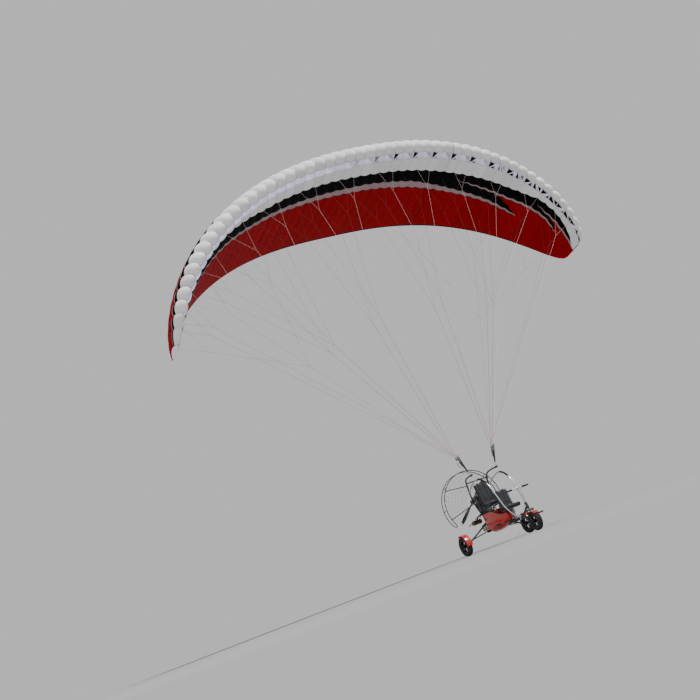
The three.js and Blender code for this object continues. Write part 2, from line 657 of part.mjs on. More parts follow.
function engineCylinder(grow = 0) {
  const fins = 5;
  const pitch = (CYLINDER.top - CYLINDER.bottom) / fins;
  const profile = [[CYLINDER.bottom - grow, 0]];
  for (let i = 0; i < fins; i++) {
    const z = CYLINDER.bottom + i * pitch;
    profile.push([z - (i ? 0 : grow), CYLINDER.radius + grow], [z + pitch * 0.45, CYLINDER.radius + grow]);
    profile.push([z + pitch * 0.45 + 1, grow ? CYLINDER.radius + grow : CYLINDER.radius - 18]);
    profile.push([z + pitch - 1, grow ? CYLINDER.radius + grow : CYLINDER.radius - 18]);
  }
  profile.push([CYLINDER.top, 0]);
  const points = profile.map(([z, radius]) => new THREE.Vector2(radius, z));
  const turnedProfile = solidFacingOut(new THREE.LatheGeometry(points, 16));
  return turnedProfile.rotateX(Math.PI / 2).translate(0, CYLINDER.centreY, 0);
}

function exhaust() {
  const can = rod(vec(-330, 700, 590), vec(-110, 700, 590), 48, 18);
  const header = pipe([[-60, 612, 700], [-110, 618, 700], [-165, 640, 690], [-200, 690, 640], [-205, 700, 590]], 16, 14);
  const tail = pipe([[-320, 700, 590], [-360, 705, 590], [-380, 740, 575], [-382, 790, 570]], 10, 10, 8);
  return cut(join(can, header, tail), engineCylinder(SEAT_GAP));
}

function reductionDrive() {
  const outline = new THREE.Shape();
  outline.absarc(0, THRUST_Z, 62, 0, Math.PI, false);
  outline.absarc(0, CRANK_Z, 48, Math.PI, 2 * Math.PI, false);
  const options = { depth: 62, bevelEnabled: false, curveSegments: 12 };
  const housing = new THREE.ExtrudeGeometry(outline, options).rotateX(Math.PI / 2);
  housing.translate(0, BLOCK_Y[1] + SEAT_GAP + 62, 0);
  const boss = rod(vec(0, 745, THRUST_Z), vec(0, 905, THRUST_Z), 30, 18);
  const shaft = rod(vec(0, 900, THRUST_Z), vec(0, 1012, THRUST_Z), 12, 16);
  return join(housing, boss, shaft);
}

function airBox() {
  const intake = rod(vec(100 + SEAT_GAP, 600, 890), vec(140, 600, 890), 24, 14);
  return join(intake, roundedBox([132, 232], [535, 665], [810, 970], 14));
}

add(craft, 'engine_block', join(
  box([-100, 100], BLOCK_Y, [CYLINDER.top + SEAT_GAP, 960]),
  rod(vec(0, BLOCK_Y[0], 960), vec(0, BLOCK_Y[1], 960), 90, 20),
), MATERIAL.alloy);
add(craft, 'engine_cylinder', engineCylinder(), MATERIAL.alloy);
add(craft, 'exhaust', exhaust(), MATERIAL.steel);
add(craft, 'reduction_drive', reductionDrive(), MATERIAL.engineDark);
add(craft, 'air_box', airBox(), MATERIAL.engineDark);
add(craft, 'fuel_tank', roundedBox([-130, 130], [535, 750], [KEEL_TOP + SEAT_GAP, 500], 24), MATERIAL.tankPlastic);

// Propeller, turned about the thrust line
function blade(angle) {
  const rings = [];
  const steps = 9;
  for (let i = 0; i <= steps; i++) {
    const share = i / steps;
    const radius = 30 + (PROP_RADIUS - 30) * share;
    const chord = 36 + 68 * Math.sin(Math.PI * (0.02 + 0.8 * share)) - 34 * share ** 6;
    const depth = 24 - 19 * share;
    const twist = THREE.MathUtils.degToRad(48 - 34 * share);
    const ring = [];
    for (let k = 0; k < 10; k++) {
      const turn = (2 * Math.PI * k) / 10;
      const across = (chord / 2) * Math.cos(turn);
      const thick = (depth / 2) * Math.sin(turn);
      ring.push(vec(
        radius,
        across * Math.sin(twist) + thick * Math.cos(twist),
        across * Math.cos(twist) - thick * Math.sin(twist),
      ));
    }
    rings.push(ring);
  }
  return loft(rings).applyQuaternion(new THREE.Quaternion().setFromAxisAngle(Y_AXIS, -angle));
}

function propeller() {
  const boss = rod(vec(0, -24, 0), vec(0, 24, 0), 48, 20);
  const bore = rod(vec(0, -60, 0), vec(0, 60, 0), 12.5, 20);
  return cut(join(boss, blade(PROP_REST), blade(PROP_REST + Math.PI)), bore);
}

add(craft, 'propeller', propeller(), MATERIAL.carbon).position.set(0, PROP_Y - 28, THRUST_Z);
add(craft, 'prop_hub_plate', cut(
  rod(vec(0, -6, 0), vec(0, 6, 0), 52, 20), rod(vec(0, -30, 0), vec(0, 30, 0), 12.5, 20),
), MATERIAL.alloy).position.set(0, PROP_Y - 28 + 24 + SEAT_GAP + 6, THRUST_Z);

// Propeller guard: a plain front arc, a rear arc with the low end turns and bridges, and struts to the frame
class HoopArc extends THREE.Curve {
  constructor(y) {
    super();
    this.y = y;
  }
  getPoint(t) {
    return hoopPoint(HOOP.lowEnd + (Math.PI - 2 * HOOP.lowEnd) * t, this.y);
  }
}

const hoopPoint = (angle, y) => vec(HOOP.radius * Math.cos(angle), y, THRUST_Z + HOOP.radius * Math.sin(angle));

const hoopArc = (y, grow = 0) => new THREE.ExtrudeGeometry(
  circle(HOOP.tube + grow, HOOP.sides), { steps: HOOP.steps, extrudePath: new HoopArc(y) },
);

// A half turn in the hoop's own cylinder, from the front arc's end to the rear arc's
function hoopTurn(angle, direction) {
  const half = (HOOP.rearY - HOOP.frontY) / 2;
  const points = [];
  for (let i = 0; i <= HOOP.turnSteps; i++) {
    const turn = (Math.PI * i) / HOOP.turnSteps;
    const swing = direction * (half / HOOP.radius) * Math.sin(turn);
    points.push(hoopPoint(angle + swing, HOOP.frontY + half * (1 - Math.cos(turn))));
  }
  return pipe(points, HOOP.tube, HOOP.turnSteps, HOOP.sides);
}

function rearHoop() {
  const bridges = HOOP.bridgeAngles.map((degrees) => {
    const angle = THREE.MathUtils.degToRad(degrees);
    return rod(hoopPoint(angle, HOOP.frontY), hoopPoint(angle, HOOP.rearY), HOOP.bridgeRadius, HOOP.sides);
  });
  const turns = [hoopTurn(HOOP.lowEnd, -1), hoopTurn(Math.PI - HOOP.lowEnd, 1)];
  return cut(join(hoopArc(HOOP.rearY), ...turns, ...bridges), hoopArc(HOOP.frontY, SEAT_GAP));
}

add(craft, 'prop_hoop_front', hoopArc(HOOP.frontY), MATERIAL.frameBlack);
add(craft, 'prop_hoop_rear', rearHoop(), MATERIAL.frameBlack);

const GUARD_STRUTS = [
  { name: 'upper', from: [256, 448, 1350], angle: 36, radius: 9 },
  { name: 'lower', from: [226, 482, 960], angle: -18, radius: 9 },
];
for (const strut of GUARD_STRUTS) {
  for (const [sideName, side] of SIDES) {
    const end = hoopPoint(THREE.MathUtils.degToRad(strut.angle), HOOP.frontY);
    const [foot, head] = onSide([strut.from, end.toArray()], side);
    add(craft, `guard_strut_${strut.name}_${sideName}`,
      cut(rod(foot, head, strut.radius), upright(side, SEAT_GAP), hoopArc(HOOP.frontY, SEAT_GAP)),
      MATERIAL.frameBlack);
  }
}

// The craft is moved along Y as a whole, so that its outermost points lie evenly about the origin
craft.updateMatrixWorld(true);
const outermost = new THREE.Box3().setFromObject(craft, true);
craft.position.y = -Math.round((outermost.min.y + outermost.max.y) / 2);
craft.updateMatrixWorld(true);
export default craft;
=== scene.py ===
# A two-seat paramotor: a three-wheeled buggy with a pusher engine under a ram-air wing of red, black and
# white cloth. Metres, +Z up; the nose points along -Y and the craft's left side is +X.
import functools
import math

import bmesh
import bpy
from mathutils import Matrix, Vector


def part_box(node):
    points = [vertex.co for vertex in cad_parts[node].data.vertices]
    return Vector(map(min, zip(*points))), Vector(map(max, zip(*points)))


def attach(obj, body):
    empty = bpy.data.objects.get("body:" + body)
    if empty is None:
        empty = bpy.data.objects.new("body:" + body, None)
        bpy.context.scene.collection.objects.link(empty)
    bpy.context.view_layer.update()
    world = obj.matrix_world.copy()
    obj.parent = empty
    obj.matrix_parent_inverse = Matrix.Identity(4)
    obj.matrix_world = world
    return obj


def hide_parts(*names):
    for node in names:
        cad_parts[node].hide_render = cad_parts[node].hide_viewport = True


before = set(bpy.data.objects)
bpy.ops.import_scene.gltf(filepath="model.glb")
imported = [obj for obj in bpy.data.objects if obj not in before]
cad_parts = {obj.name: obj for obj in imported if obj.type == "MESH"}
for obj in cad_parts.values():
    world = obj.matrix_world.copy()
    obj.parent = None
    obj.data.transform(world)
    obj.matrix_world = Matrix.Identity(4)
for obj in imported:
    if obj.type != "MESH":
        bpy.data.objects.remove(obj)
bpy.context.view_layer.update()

# The craft's own middle: its hang points lie over this line across the keel, 0.79 m ahead of the keel's
# tail, and every place below that is given fore and aft is measured from it.
keel_rear = 0.79
hang_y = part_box("keel")[1].y - keel_rear
craft_turn = Matrix.Translation((0, hang_y, 0))
x_axis, y_axis, z_axis = Vector((1, 0, 0)), Vector((0, 1, 0)), Vector((0, 0, 1))
both_sides = ((1, "left"), (-1, "right"))


def on_craft(x, y, z):
    """A place on the craft, with y measured aft from the hang points."""
    return Vector((x, hang_y + y, z))


def add_object(name, data):
    """An object in the scene that shows the data."""
    made = bpy.data.objects.new(name, data)
    bpy.context.scene.collection.objects.link(made)
    return made


# The view: from the ground ahead of the craft and to its right, looking up, with the camera tilted.
# It is a 53 mm lens on a 36 mm sensor, about 22 m away.
camera_place = on_craft(-10.38, -19.06, 0.15)
camera_aim = on_craft(-1.576, 0.587, 4.875)
camera_tilt = math.radians(-20.98)
camera_data = bpy.data.cameras.new("camera")
camera_data.lens = 53.4
camera_data.sensor_width = 36
camera_data.clip_end = 1000
camera = add_object("camera", camera_data)
camera.location = camera_place
look = (camera_aim - camera_place).to_track_quat("-Z", "Y").to_matrix()
camera.rotation_euler = (look @ Matrix.Rotation(camera_tilt, 3, "Z")).to_euler()
bpy.context.scene.camera = camera


# The studio: a pale matt floor that runs on into an evenly lit, pale backdrop of the same brightness. A
# broad sun stands high ahead of the craft's left side. A wide panel on its right lifts the shade, held
# clear of the floor so that its light ends softly there.
floor_reach = 400


def colour(hex_code):
    """The linear colour of an sRGB hex value."""
    shares = [int(hex_code[i:i + 2], 16) / 255 for i in (1, 3, 5)]
    linear = [s / 12.92 if s <= 0.04045 else ((s + 0.055) / 1.055) ** 2.4 for s in shares]
    return (*linear, 1.0)


def add_node(tree, kind, inputs=(), **settings):
    """A shader node with its settings; each input is a value or the socket that feeds it."""
    made = tree.nodes.new(f"ShaderNode{kind}")
    for name, setting in settings.items():
        setattr(made, name, setting)
    for socket, source in dict(inputs).items():
        if isinstance(source, bpy.types.NodeSocket):
            tree.links.new(source, made.inputs[socket])
        else:
            made.inputs[socket].default_value = source
    return made


def calc(tree, operation, *terms):
    return add_node(tree, "Math", dict(enumerate(terms)), operation=operation).outputs[0]


def ramp(tree, share, start=0.0, end=1.0, low=0.0, high=1.0):
    """A share taken from the range start to end into the range low to high."""
    return add_node(tree, "MapRange", {0: share, 1: start, 2: end, 3: low, 4: high}).outputs[0]


def blend(tree, share, first, second, **settings):
    """A blend of two colours, each given as its value or by a socket."""
    return add_node(tree, "Mix", {0: share, 6: first, 7: second}, data_type="RGBA", **settings).outputs[2]


def texture(tree, kind, inputs, stretch=None, **settings):
    """A texture's strength, laid out in the piece's own space, which may be stretched."""
    place = add_node(tree, "TexCoord").outputs["Object"]
    if stretch:
        place = add_node(tree, "Mapping", {"Scale": stretch, "Vector": place}).outputs[0]
    return add_node(tree, f"Tex{kind}", {**inputs, "Vector": place}, **settings).outputs["Fac"]


def start_material(name, hex_code, roughness, metallic=0.0, values=()):
    """A material with its node tree and shader, before its pattern is added."""
    made = bpy.data.materials.new(name)
    made.use_nodes = True
    shader = made.node_tree.nodes["Principled BSDF"]
    basics = {"Base Color": colour(hex_code), "Roughness": roughness, "Metallic": metallic}
    for socket, value in {**basics, **dict(values)}.items():
        shader.inputs[socket].default_value = value
    return made, made.node_tree, shader


def dress(tree, shader, drift=None, tint=None, gloss=None, grain=None, lift=None):
    """Feeds a shader: the drift blends two tints and sets the gloss, and the grain lifts the surface."""
    if tint:
        tree.links.new(blend(tree, drift, colour(tint[0]), colour(tint[1])), shader.inputs["Base Color"])
    if gloss:
        tree.links.new(ramp(tree, drift, low=gloss[0], high=gloss[1]), shader.inputs["Roughness"])
    if lift:
        relief = add_node(tree, "Bump", {"Height": grain, "Strength": lift[0], "Distance": lift[1]})
        tree.links.new(relief.outputs[0], shader.inputs["Normal"])


def surface(name, hex_code, roughness, metallic=0.0, values=(), drift=None, grain=None, **looks):
    """A material whose drift and grain are noises, each given by its scale and detail."""
    made, tree, shader = start_material(name, hex_code, roughness, metallic, values)
    drift, grain = [noise and texture(tree, "Noise", {"Scale": noise[0], "Detail": noise[1]})
                    for noise in (drift, grain)]
    dress(tree, shader, drift=drift, grain=grain, **looks)
    return made


def finish_piece(name, mesh, material, replaces=(), body="airframe", crease=35, closed=True,
                 inner=None):
    """Makes a bmesh an object at the origin, which rides on a body and stands for CAD nodes."""
    if closed:
        bmesh.ops.recalc_face_normals(mesh, faces=mesh.faces[:])
    for face in mesh.faces:
        face.smooth = True
    for edge in mesh.edges:
        edge.smooth = edge.calc_face_angle(0) < math.radians(crease)
    data = bpy.data.meshes.new(name)
    mesh.to_mesh(data)
    mesh.free()
    data.materials.append(material)
    if inner:
        data.materials.append(inner)
    piece = add_object(name, data)
    if body:
        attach(piece, body)
    if replaces:
        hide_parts(*replaces)
    return piece


floor_mesh = bmesh.new()
bmesh.ops.create_grid(floor_mesh, x_segments=1, y_segments=1, size=floor_reach)
floor_material = surface("studio_floor", "#9e9d9d", 1.0, values={"Specular IOR Level": 0.0})
floor = finish_piece("studio_floor", floor_mesh, floor_material, body=None, closed=False)
daylight = bpy.data.worlds.new("daylight")
bpy.context.scene.world = daylight
daylight.use_nodes = True
backdrop = daylight.node_tree.nodes["Background"]
backdrop.inputs["Color"].default_value = colour("#e8e8e8")
backdrop.inputs["Strength"].default_value = 0.74

sun_data = bpy.data.lights.new("sun", "SUN")
sun_data.energy = 4.2
sun_data.angle = math.radians(12)
sun = add_object("sun", sun_data)
sun_aim = Vector((-0.35, 0.45, -1.0))
sun.rotation_euler = sun_aim.to_track_quat("-Z", "Y").to_euler()

panel_data = bpy.data.lights.new("panel", "AREA")
panel_data.energy = 130
panel_data.shape = "RECTANGLE"
panel_data.size = 8
panel_data.size_y = 4
panel = add_object("panel", panel_data)
panel.location = on_craft(-11, -9, 3.6)
panel_aim = on_craft(2, 0, 8)
panel.rotation_euler = (panel_aim - panel.location).to_track_quat("-Z", "Y").to_euler()


# The wing: two skins of coated ripstop nylon, cut cell by cell and sewn along fifty cells' ribs. Air that
# enters through the mouths under the nose blows each cell up between its seams.
half_span = 6.2
root_chord = 3.5
tip_chord = 0.68
plan_power = 1.84
tip_sweep = 0.5
tip_lean = 1.23
lean_power = 1.47
wing_pitch = 0.135
wing_setback = 0.6
wing_height = 8.7
thickness_ratio = 0.17
camber_ratio = 0.03
tail_half = 0.004
cell_count = 50
upper_lip = -0.17
lower_lip = -0.29
arc_steps = 400
wing_turn = Matrix.Rotation(-wing_pitch, 3, "X")


@functools.lru_cache(maxsize=None)
def span_station(span):
    """Where the wing's middle line is at a share of the half span, with the chord and the local up."""
    side = -1 if span < 0 else 1
    x = z = 0.0
    step = half_span * abs(span) / arc_steps
    for i in range(arc_steps):
        lean = tip_lean * (abs(span) * (i + 0.5) / arc_steps) ** lean_power
        x += step * math.cos(lean)
        z -= step * math.sin(lean)
    lean = tip_lean * abs(span) ** lean_power
    fullness = max(0.0, 1 - abs(span) ** plan_power) ** (1 / plan_power)
    chord = tip_chord + (root_chord - tip_chord) * fullness
    lead = -0.3 * root_chord + tip_sweep * (root_chord - chord)
    return side * x, z, chord, lead, Vector((side * math.sin(lean), 0, math.cos(lean)))


def section_height(root):
    """Height of the wing's section over its chord, at a signed root of the chord fraction."""
    share = root * root
    half = 0.2969 * abs(root) - 0.126 * share - 0.3516 * share**2 + 0.2843 * share**3 - 0.1036 * share**4
    camber = camber_ratio * 5.6 * share * (1 - share) * (1 - 0.55 * share)
    return camber + math.copysign(5 * thickness_ratio * half, root)


def flat_section(root, chord):
    tail = math.copysign(tail_half * root * root, root)
    return Vector((root * root * chord, section_height(root) * chord + tail))


def skin_point(span, root, rise=0.0):
    """A point of the skin, with the rise measured outwards in the section's plane."""
    x, z, chord, lead, up = span_station(round(span, 6))
    ahead, behind = flat_section(min(root + 0.002, 1), chord), flat_section(max(root - 0.002, -1), chord)
    along = (ahead - behind).normalized()
    place = flat_section(root, chord) + rise * Vector((-along.y, along.x))
    local = Vector((x, lead + place.x, z)) + up * place.y
    return wing_turn @ local + on_craft(0, wing_setback, wing_height)


def puff(cell_place, root):
    """How far the blown-up cloth stands out from the seams' level, at a place counted in cells."""
    across = cell_place - math.floor(cell_place)
    arch = 1 - abs(2 * across - 1) ** 2.8
    share = root * root
    seam_level = -0.35
    nose = 0.17 * math.exp(-share / 0.1) + 0.085
    side = 0.6 + 0.4 * min(max(1 + root / 0.35, 0.0), 1.0)
    tail_fade = min(1.0, (1 - share) / 0.3)
    tip_fade = min(1.0, 0.35 + 0.65 * min(cell_place, cell_count - cell_place) / 2)
    cell_width = 2 * half_span / cell_count
    return cell_width * nose * side * tail_fade * tip_fade * (arch + seam_level)


def seam_span(cell_place):
    return 2 * cell_place / cell_count - 1


def mark_cloth(mesh, places):
    """Writes each point's shares of span and chord, counted in cells and roots, as its cloth UV."""
    layer = mesh.loops.layers.uv.new("cloth")
    for face in mesh.faces:
        for loop in face.loops:
            cell_place, root = places[loop.vert]
            loop[layer].uv = (cell_place / cell_count, root * root)


def grid_points(mesh, columns, rows):
    """Adds a grid; gives each of its points with the shares of its columns and rows there."""
    made = bmesh.ops.create_grid(mesh, x_segments=columns, y_segments=rows, size=0.5)["verts"]
    return [(vertex, vertex.co.x + 0.5, vertex.co.y + 0.5) for vertex in made]


def cloth_patch(first_cell, last_cell, root_from, root_to, chord_steps, cell_steps=8):
    """A grid of cloth between two seams and two roots, with its span and chord shares as its UV."""
    mesh = bmesh.new()
    places = {}
    for vertex, along, across in grid_points(mesh, (last_cell - first_cell) * cell_steps, chord_steps):
        cell_place = first_cell + along * (last_cell - first_cell)
        places[vertex] = (cell_place, root_from + across * (root_to - root_from))
    mark_cloth(mesh, places)
    for vertex, (cell_place, root) in places.items():
        rise = puff(min(cell_place, cell_count - 1e-6), root)
        vertex.co = skin_point(seam_span(cell_place), root, rise)
    return mesh


# Ripstop nylon is a thin, slick-coated cloth: nearly matt, with a faint sheen and a small square grid of
# thicker threads. The bands are panels sewn in: their edges run along the span as smooth curves.
band_edges = {
    "tail_thin": [(-1, 0.15), (-0.8, 0.17), (-0.62, 0.25), (-0.45, 0.335), (-0.24, 0.365), (0.06, 0.377),
                  (0.25, 0.415), (0.44, 0.472), (0.6, 0.505), (0.7, 0.54), (0.745, 0.56), (0.76, 0.2)],
    "tail_black": [(-1, 0.13), (-0.8, 0.15), (-0.62, 0.215), (-0.45, 0.292), (-0.24, 0.311), (0.06, 0.311),
                   (0.25, 0.342), (0.43, 0.422), (0.6, 0.471), (0.7, 0.52), (0.73, 0.545), (0.745, 0.2)],
    "wedge_red": [(-1, 0), (0.58, 0), (0.6, 0.345), (0.655, 0.412), (0.7, 0.485), (0.74, 0.57), (1, 0.7)],
    "upper_thin": [(-1, 0), (0.42, 0), (0.43, 0.309), (0.51, 0.337), (0.574, 0.354), (0.66, 0.368),
                   (0.74, 0.35), (0.79, 0.348), (0.83, 0.355), (0.87, 0.395), (0.9, 0.445), (0.91, 0),
                   (1, 0)],
    "upper_black": [(-1, 0), (0.42, 0), (0.43, 0.309), (0.51, 0.322), (0.574, 0.332), (0.66, 0.342),
                    (0.74, 0.322), (0.79, 0.318), (0.83, 0.325), (0.87, 0.37), (0.893, 0.43), (0.9, 0),
                    (1, 0)],
    "tip_red": [(-1, 0), (0.84, 0), (0.85, 0.28), (0.875, 0.33), (0.893, 0.41), (0.91, 0.5), (1, 0.75)],
    "tip_thin": [(-1, 0), (0.76, 0), (0.775, 0.238), (0.824, 0.272), (0.875, 0.29), (0.935, 0.345),
                 (0.975, 0.41), (1, 0.5)],
    "tip_black": [(-1, 0), (0.76, 0), (0.775, 0.238), (0.824, 0.252), (0.875, 0.262), (0.935, 0.305),
                  (0.975, 0.37), (0.985, 0), (1, 0)],
    "nose_white": [(-1, 0.08), (-0.8, 0.085), (-0.6, 0.1), (-0.5, 0.143), (-0.41, 0.183), (-0.1, 0.185),
                   (0.2, 0.205), (0.4, 0.225), (0.64, 0.222), (0.72, 0.195), (0.77, 0.155), (0.85, 0.155),
                   (0.9, 0.18), (0.95, 0.25), (0.975, 0.35), (1, 0.48)],
}
sail_red, band_black, stripe_grey, nose_white = "#96000c", "#030303", "#a68c90", "#efeef1"
band_order = [
    ("tail_thin", stripe_grey), ("tail_black", band_black), ("wedge_red", sail_red),
    ("upper_thin", stripe_grey), ("upper_black", band_black), ("tip_red", sail_red),
    ("tip_thin", stripe_grey), ("tip_black", band_black), ("nose_white", nose_white),
]
ripstop_squares = 2 * half_span / 0.02  # drawn at 20 mm, coarser than the real 5 mm, so that it shows
scallop_depth = 0.016
hem_start = 0.976


def band_curve(tree, name, along):
    """A band's edge as a curve over the span, from 0 at the right tip to 1 at the left."""
    curve_node = add_node(tree, "FloatCurve", {"Value": along}, label=name)
    curve = curve_node.mapping.curves[0]
    points = [((span + 1) / 2, share) for span, share in band_edges[name]]
    if points[-1][0] < 1:
        points.append((1, 0))
    while len(curve.points) < len(points):
        curve.points.new(0.5, 0.5)
    for handle, place in zip(curve.points, points):
        handle.location = place
        handle.handle_type = "VECTOR"
    curve_node.mapping.update()
    return curve_node.outputs[0]


def wing_cloth(name):
    material, tree, shader = start_material(name, sail_red, 0.7, values={"Specular IOR Level": 0.04})
    cloth = add_node(tree, "UVMap", uv_map="cloth").outputs["UV"]
    along, chord_share = add_node(tree, "SeparateXYZ", {0: cloth}).outputs[:2]
    cells = calc(tree, "MULTIPLY", along, cell_count)
    from_middle = calc(tree, "ABSOLUTE", calc(tree, "SUBTRACT", calc(tree, "FRACT", cells), 0.5))

    # the bands, whose edges each cell's swelling draws into a shallow scallop
    scalloped = calc(tree, "MULTIPLY_ADD", from_middle, scallop_depth, chord_share)
    paint = colour(sail_red)
    for band, hex_code in band_order:
        inside = calc(tree, "LESS_THAN", scalloped, band_curve(tree, band, along))
        paint = blend(tree, inside, paint, colour(hex_code))
    hem = calc(tree, "GREATER_THAN", chord_share, hem_start)
    paint = blend(tree, hem, paint, colour("#1b1220"))

    # each cell's panel takes the dye a little differently
    dye = add_node(tree, "TexWhiteNoise", {"W": calc(tree, "FLOOR", cells)}, noise_dimensions="1D")
    tone = ramp(tree, dye.outputs["Value"], low=0.9, high=1.06)
    paint = blend(tree, 1.0, paint, tone, blend_type="MULTIPLY")

    # the seams along the ribs, as a slightly darker line 8 mm wide
    seam = ramp(tree, from_middle, 0.474, 0.492)
    paint = blend(tree, seam, paint, (0.78, 0.78, 0.8, 1), blend_type="MULTIPLY")
    tree.links.new(paint, shader.inputs["Base Color"])

    # wrinkles drawn along the chord, then the ripstop grid
    wrinkles = texture(tree, "Noise", {"Scale": 2.2, "Detail": 4.0, "Roughness": 0.55},
                       stretch=(3.2, 0.9, 2.0))
    soft = add_node(tree, "Bump", {"Height": wrinkles, "Strength": 0.35, "Distance": 0.03})
    squares = add_node(tree, "Mapping", {"Scale": (ripstop_squares, 170, 1), "Vector": cloth})
    grid = add_node(tree, "TexBrick", {
        "Vector": squares.outputs[0], "Scale": 1.0, "Mortar Size": 0.06, "Brick Width": 1.0,
        "Row Height": 1.0}, offset=0.0)
    fine = add_node(tree, "Bump", {
        "Height": grid.outputs["Fac"], "Normal": soft.outputs[0], "Strength": 0.25, "Distance": 0.0006})
    tree.links.new(fine.outputs[0], shader.inputs["Normal"])
    return material


def inside_cloth(name, hex_code, painted_glow, deep_from, painted_top_shade=0.0):
    """Cloth inside the cells: it glows with painted light for daylight through the cloth, and painted shade
    darkens it towards the left tip, in depth and on a top side.
    """
    material, tree, shader = start_material(name, hex_code, 0.9, values={"Emission Strength": painted_glow})
    cloth = add_node(tree, "UVMap", uv_map="cloth").outputs["UV"]
    along, chord_share = add_node(tree, "SeparateXYZ", {0: cloth}).outputs[:2]
    facing = add_node(tree, "NewGeometry").outputs["True Normal"]
    upwards = add_node(tree, "SeparateXYZ", {0: facing}).outputs["Z"]
    # painted shade: darker deeper into the cell, on a side facing up, and from the middle of the span to the
    # left tip
    inwards = ramp(tree, chord_share, deep_from, deep_from + 0.05)
    darkest_painted_shade = calc(tree, "MAXIMUM", inwards, ramp(tree, upwards, 0.0, 0.05, high=painted_top_shade))
    shade = calc(tree, "MULTIPLY", ramp(tree, along, 0.42, 0.56), darkest_painted_shade)
    tint = blend(tree, shade, colour(hex_code), colour("#050507"))
    tree.links.new(tint, shader.inputs["Base Color"])
    # painted light: the same tint also glows, standing for daylight that comes through the cloth
    tree.links.new(tint, shader.inputs["Emission Color"])
    return material


cloth_material = wing_cloth("ripstop_nylon")
# painted light: the skins' inner side glows for daylight through the cloth, with painted shade beyond the
# mouths
inner_material = inside_cloth("ripstop_inside_painted_light", "#c4bfd0", 0.45, 0.03)

wing_sections = {"right": (0, 16), "centre": (16, 34), "left": (34, 50)}
cloth_thickness = 0.0012


for section, (first_cell, last_cell) in wing_sections.items():
    for skin, roots, chord_steps, girth_share in (
        ("upper", (upper_lip, 1), 52, 1.12), ("lower", (-1, lower_lip), 36, 0.95),
    ):
        mesh = cloth_patch(first_cell, last_cell, *roots, chord_steps)
        piece = finish_piece(f"wing_{skin}_cloth_{section}", mesh, cloth_material,
                             [f"wing_{skin}_skin_{section}"], crease=180, closed=False,
                             inner=inner_material)
        wall = piece.modifiers.new("wall", "SOLIDIFY")
        wall.thickness = cloth_thickness
        wall.offset = -1
        wall.material_offset = 1

# Ribs stand along every seam. White diagonals rise in each cell from the loaded rib's foot to the next rib's
# head, and show in the mouths as pale triangles beside painted shade.
# painted light: ribs and diagonals glow for daylight through the cloth, painted shade darkens them deeper in,
# and the diagonals' top sides are painted in shade
rib_material = inside_cloth("rib_cloth_painted_light", "#c3becd", 0.5, 0.13)
diagonal_material = inside_cloth("diagonal_cloth_painted_light", "#d4d0dc", 0.6, 0.15, painted_top_shade=1.0)


def seam_point(cell_place, root, depth=0.002):
    return skin_point(seam_span(cell_place), root, puff(math.floor(cell_place), root) - depth)


ribs = bmesh.new()
places = {}
for seam in range(cell_count + 1):
    for vertex, along, across in grid_points(ribs, 26, 1):
        places[vertex] = (seam, math.copysign(along ** 1.2, across - 0.5))
        vertex.co = seam_point(*places[vertex])
mark_cloth(ribs, places)
rib_area = sum(face.calc_area() for face in ribs.faces)
rib_piece = finish_piece("wing_ribs", ribs, rib_material, closed=False)

diagonals = bmesh.new()
diagonal_end = 0.56
places = {}
for cell in range(cell_count):
    loaded, free = (cell, cell + 1) if cell % 2 == 0 else (cell + 1, cell)
    for vertex, along, across in grid_points(diagonals, 5, 1):
        depth = along ** 1.3
        if across > 0.5:
            places[vertex] = (free, upper_lip + 0.02 + depth * (diagonal_end - upper_lip))
        else:
            places[vertex] = (loaded, lower_lip - 0.01 - depth * (diagonal_end + lower_lip))
        vertex.co = seam_point(*places[vertex], 0.004)
mark_cloth(diagonals, places)
diagonal_area = sum(face.calc_area() for face in diagonals.faces)
diagonal_piece = finish_piece("wing_diagonals", diagonals, diagonal_material, closed=False)

# A white tape binds both lips of the mouths and each rib's front edge between them.
tape_material = surface("binding_tape", "#dcdbe0", 0.7)
tape_half = 0.006
tape = bmesh.new()
for lip, direction in ((upper_lip, -1), (lower_lip, 1)):
    for vertex, along, across in grid_points(tape, cell_count * 8, 1):
        cell_place = min(along * cell_count, cell_count - 1e-6)
        reach = 2 * tape_half * direction if across > 0.5 else 0.0
        vertex.co = skin_point(seam_span(cell_place), lip + reach, puff(cell_place, lip) + 0.002)
for seam in range(cell_count + 1):
    for vertex, along, across in grid_points(tape, 1, 4):
        root = lower_lip + across * (upper_lip - lower_lip)
        beside = seam + (2 * along - 1) * tape_half * cell_count / (2 * half_span)
        beside = min(max(beside, 0), cell_count)
        vertex.co = skin_point(seam_span(beside), root, puff(seam, root) + 0.001)
finish_piece("wing_mouth_tape", tape, tape_material, closed=False)


# Suspension lines: sheathed aramid cords in three rows per side, each a trunk from the riser that splits
# into middle lines and then into pairs, which are sewn to every second seam. The front row is pale and the
# rows behind it dull red. They are drawn 3 to 5 mm thick, a little over the real 2 to 3 mm, to show.
hang_x = 0.31
hang_z = 1.5
riser_length = 0.48
riser_spread = 0.075
trunk_radius = 0.0027
branch_radius = 0.0017
line_rows = {"a": -0.33, "b": -0.53, "c": -0.7}
line_groups = {
    "inner": (0.18, [(1, 3), (5, 7)]),
    "outer": (0.584, [(9, 11), (13, 15), (17, 19)]),
    "tip": (0.88, [(21, 23)]),
}
trunk_share = 0.52
pair_share = 0.9


def sheath(name, darker, paler):
    made, tree, shader = start_material(name, paler, 0.6)
    braid = texture(tree, "Wave", {"Scale": 60.0, "Distortion": 0.4}, bands_direction="Z")
    dress(tree, shader, drift=braid, tint=(darker, paler))
    return made


front_line_material = sheath("aramid_sheath_pale", "#dfc3bd", "#f4e6e2")
rear_line_material = sheath("aramid_sheath_red", "#7d2f36", "#a5565a")


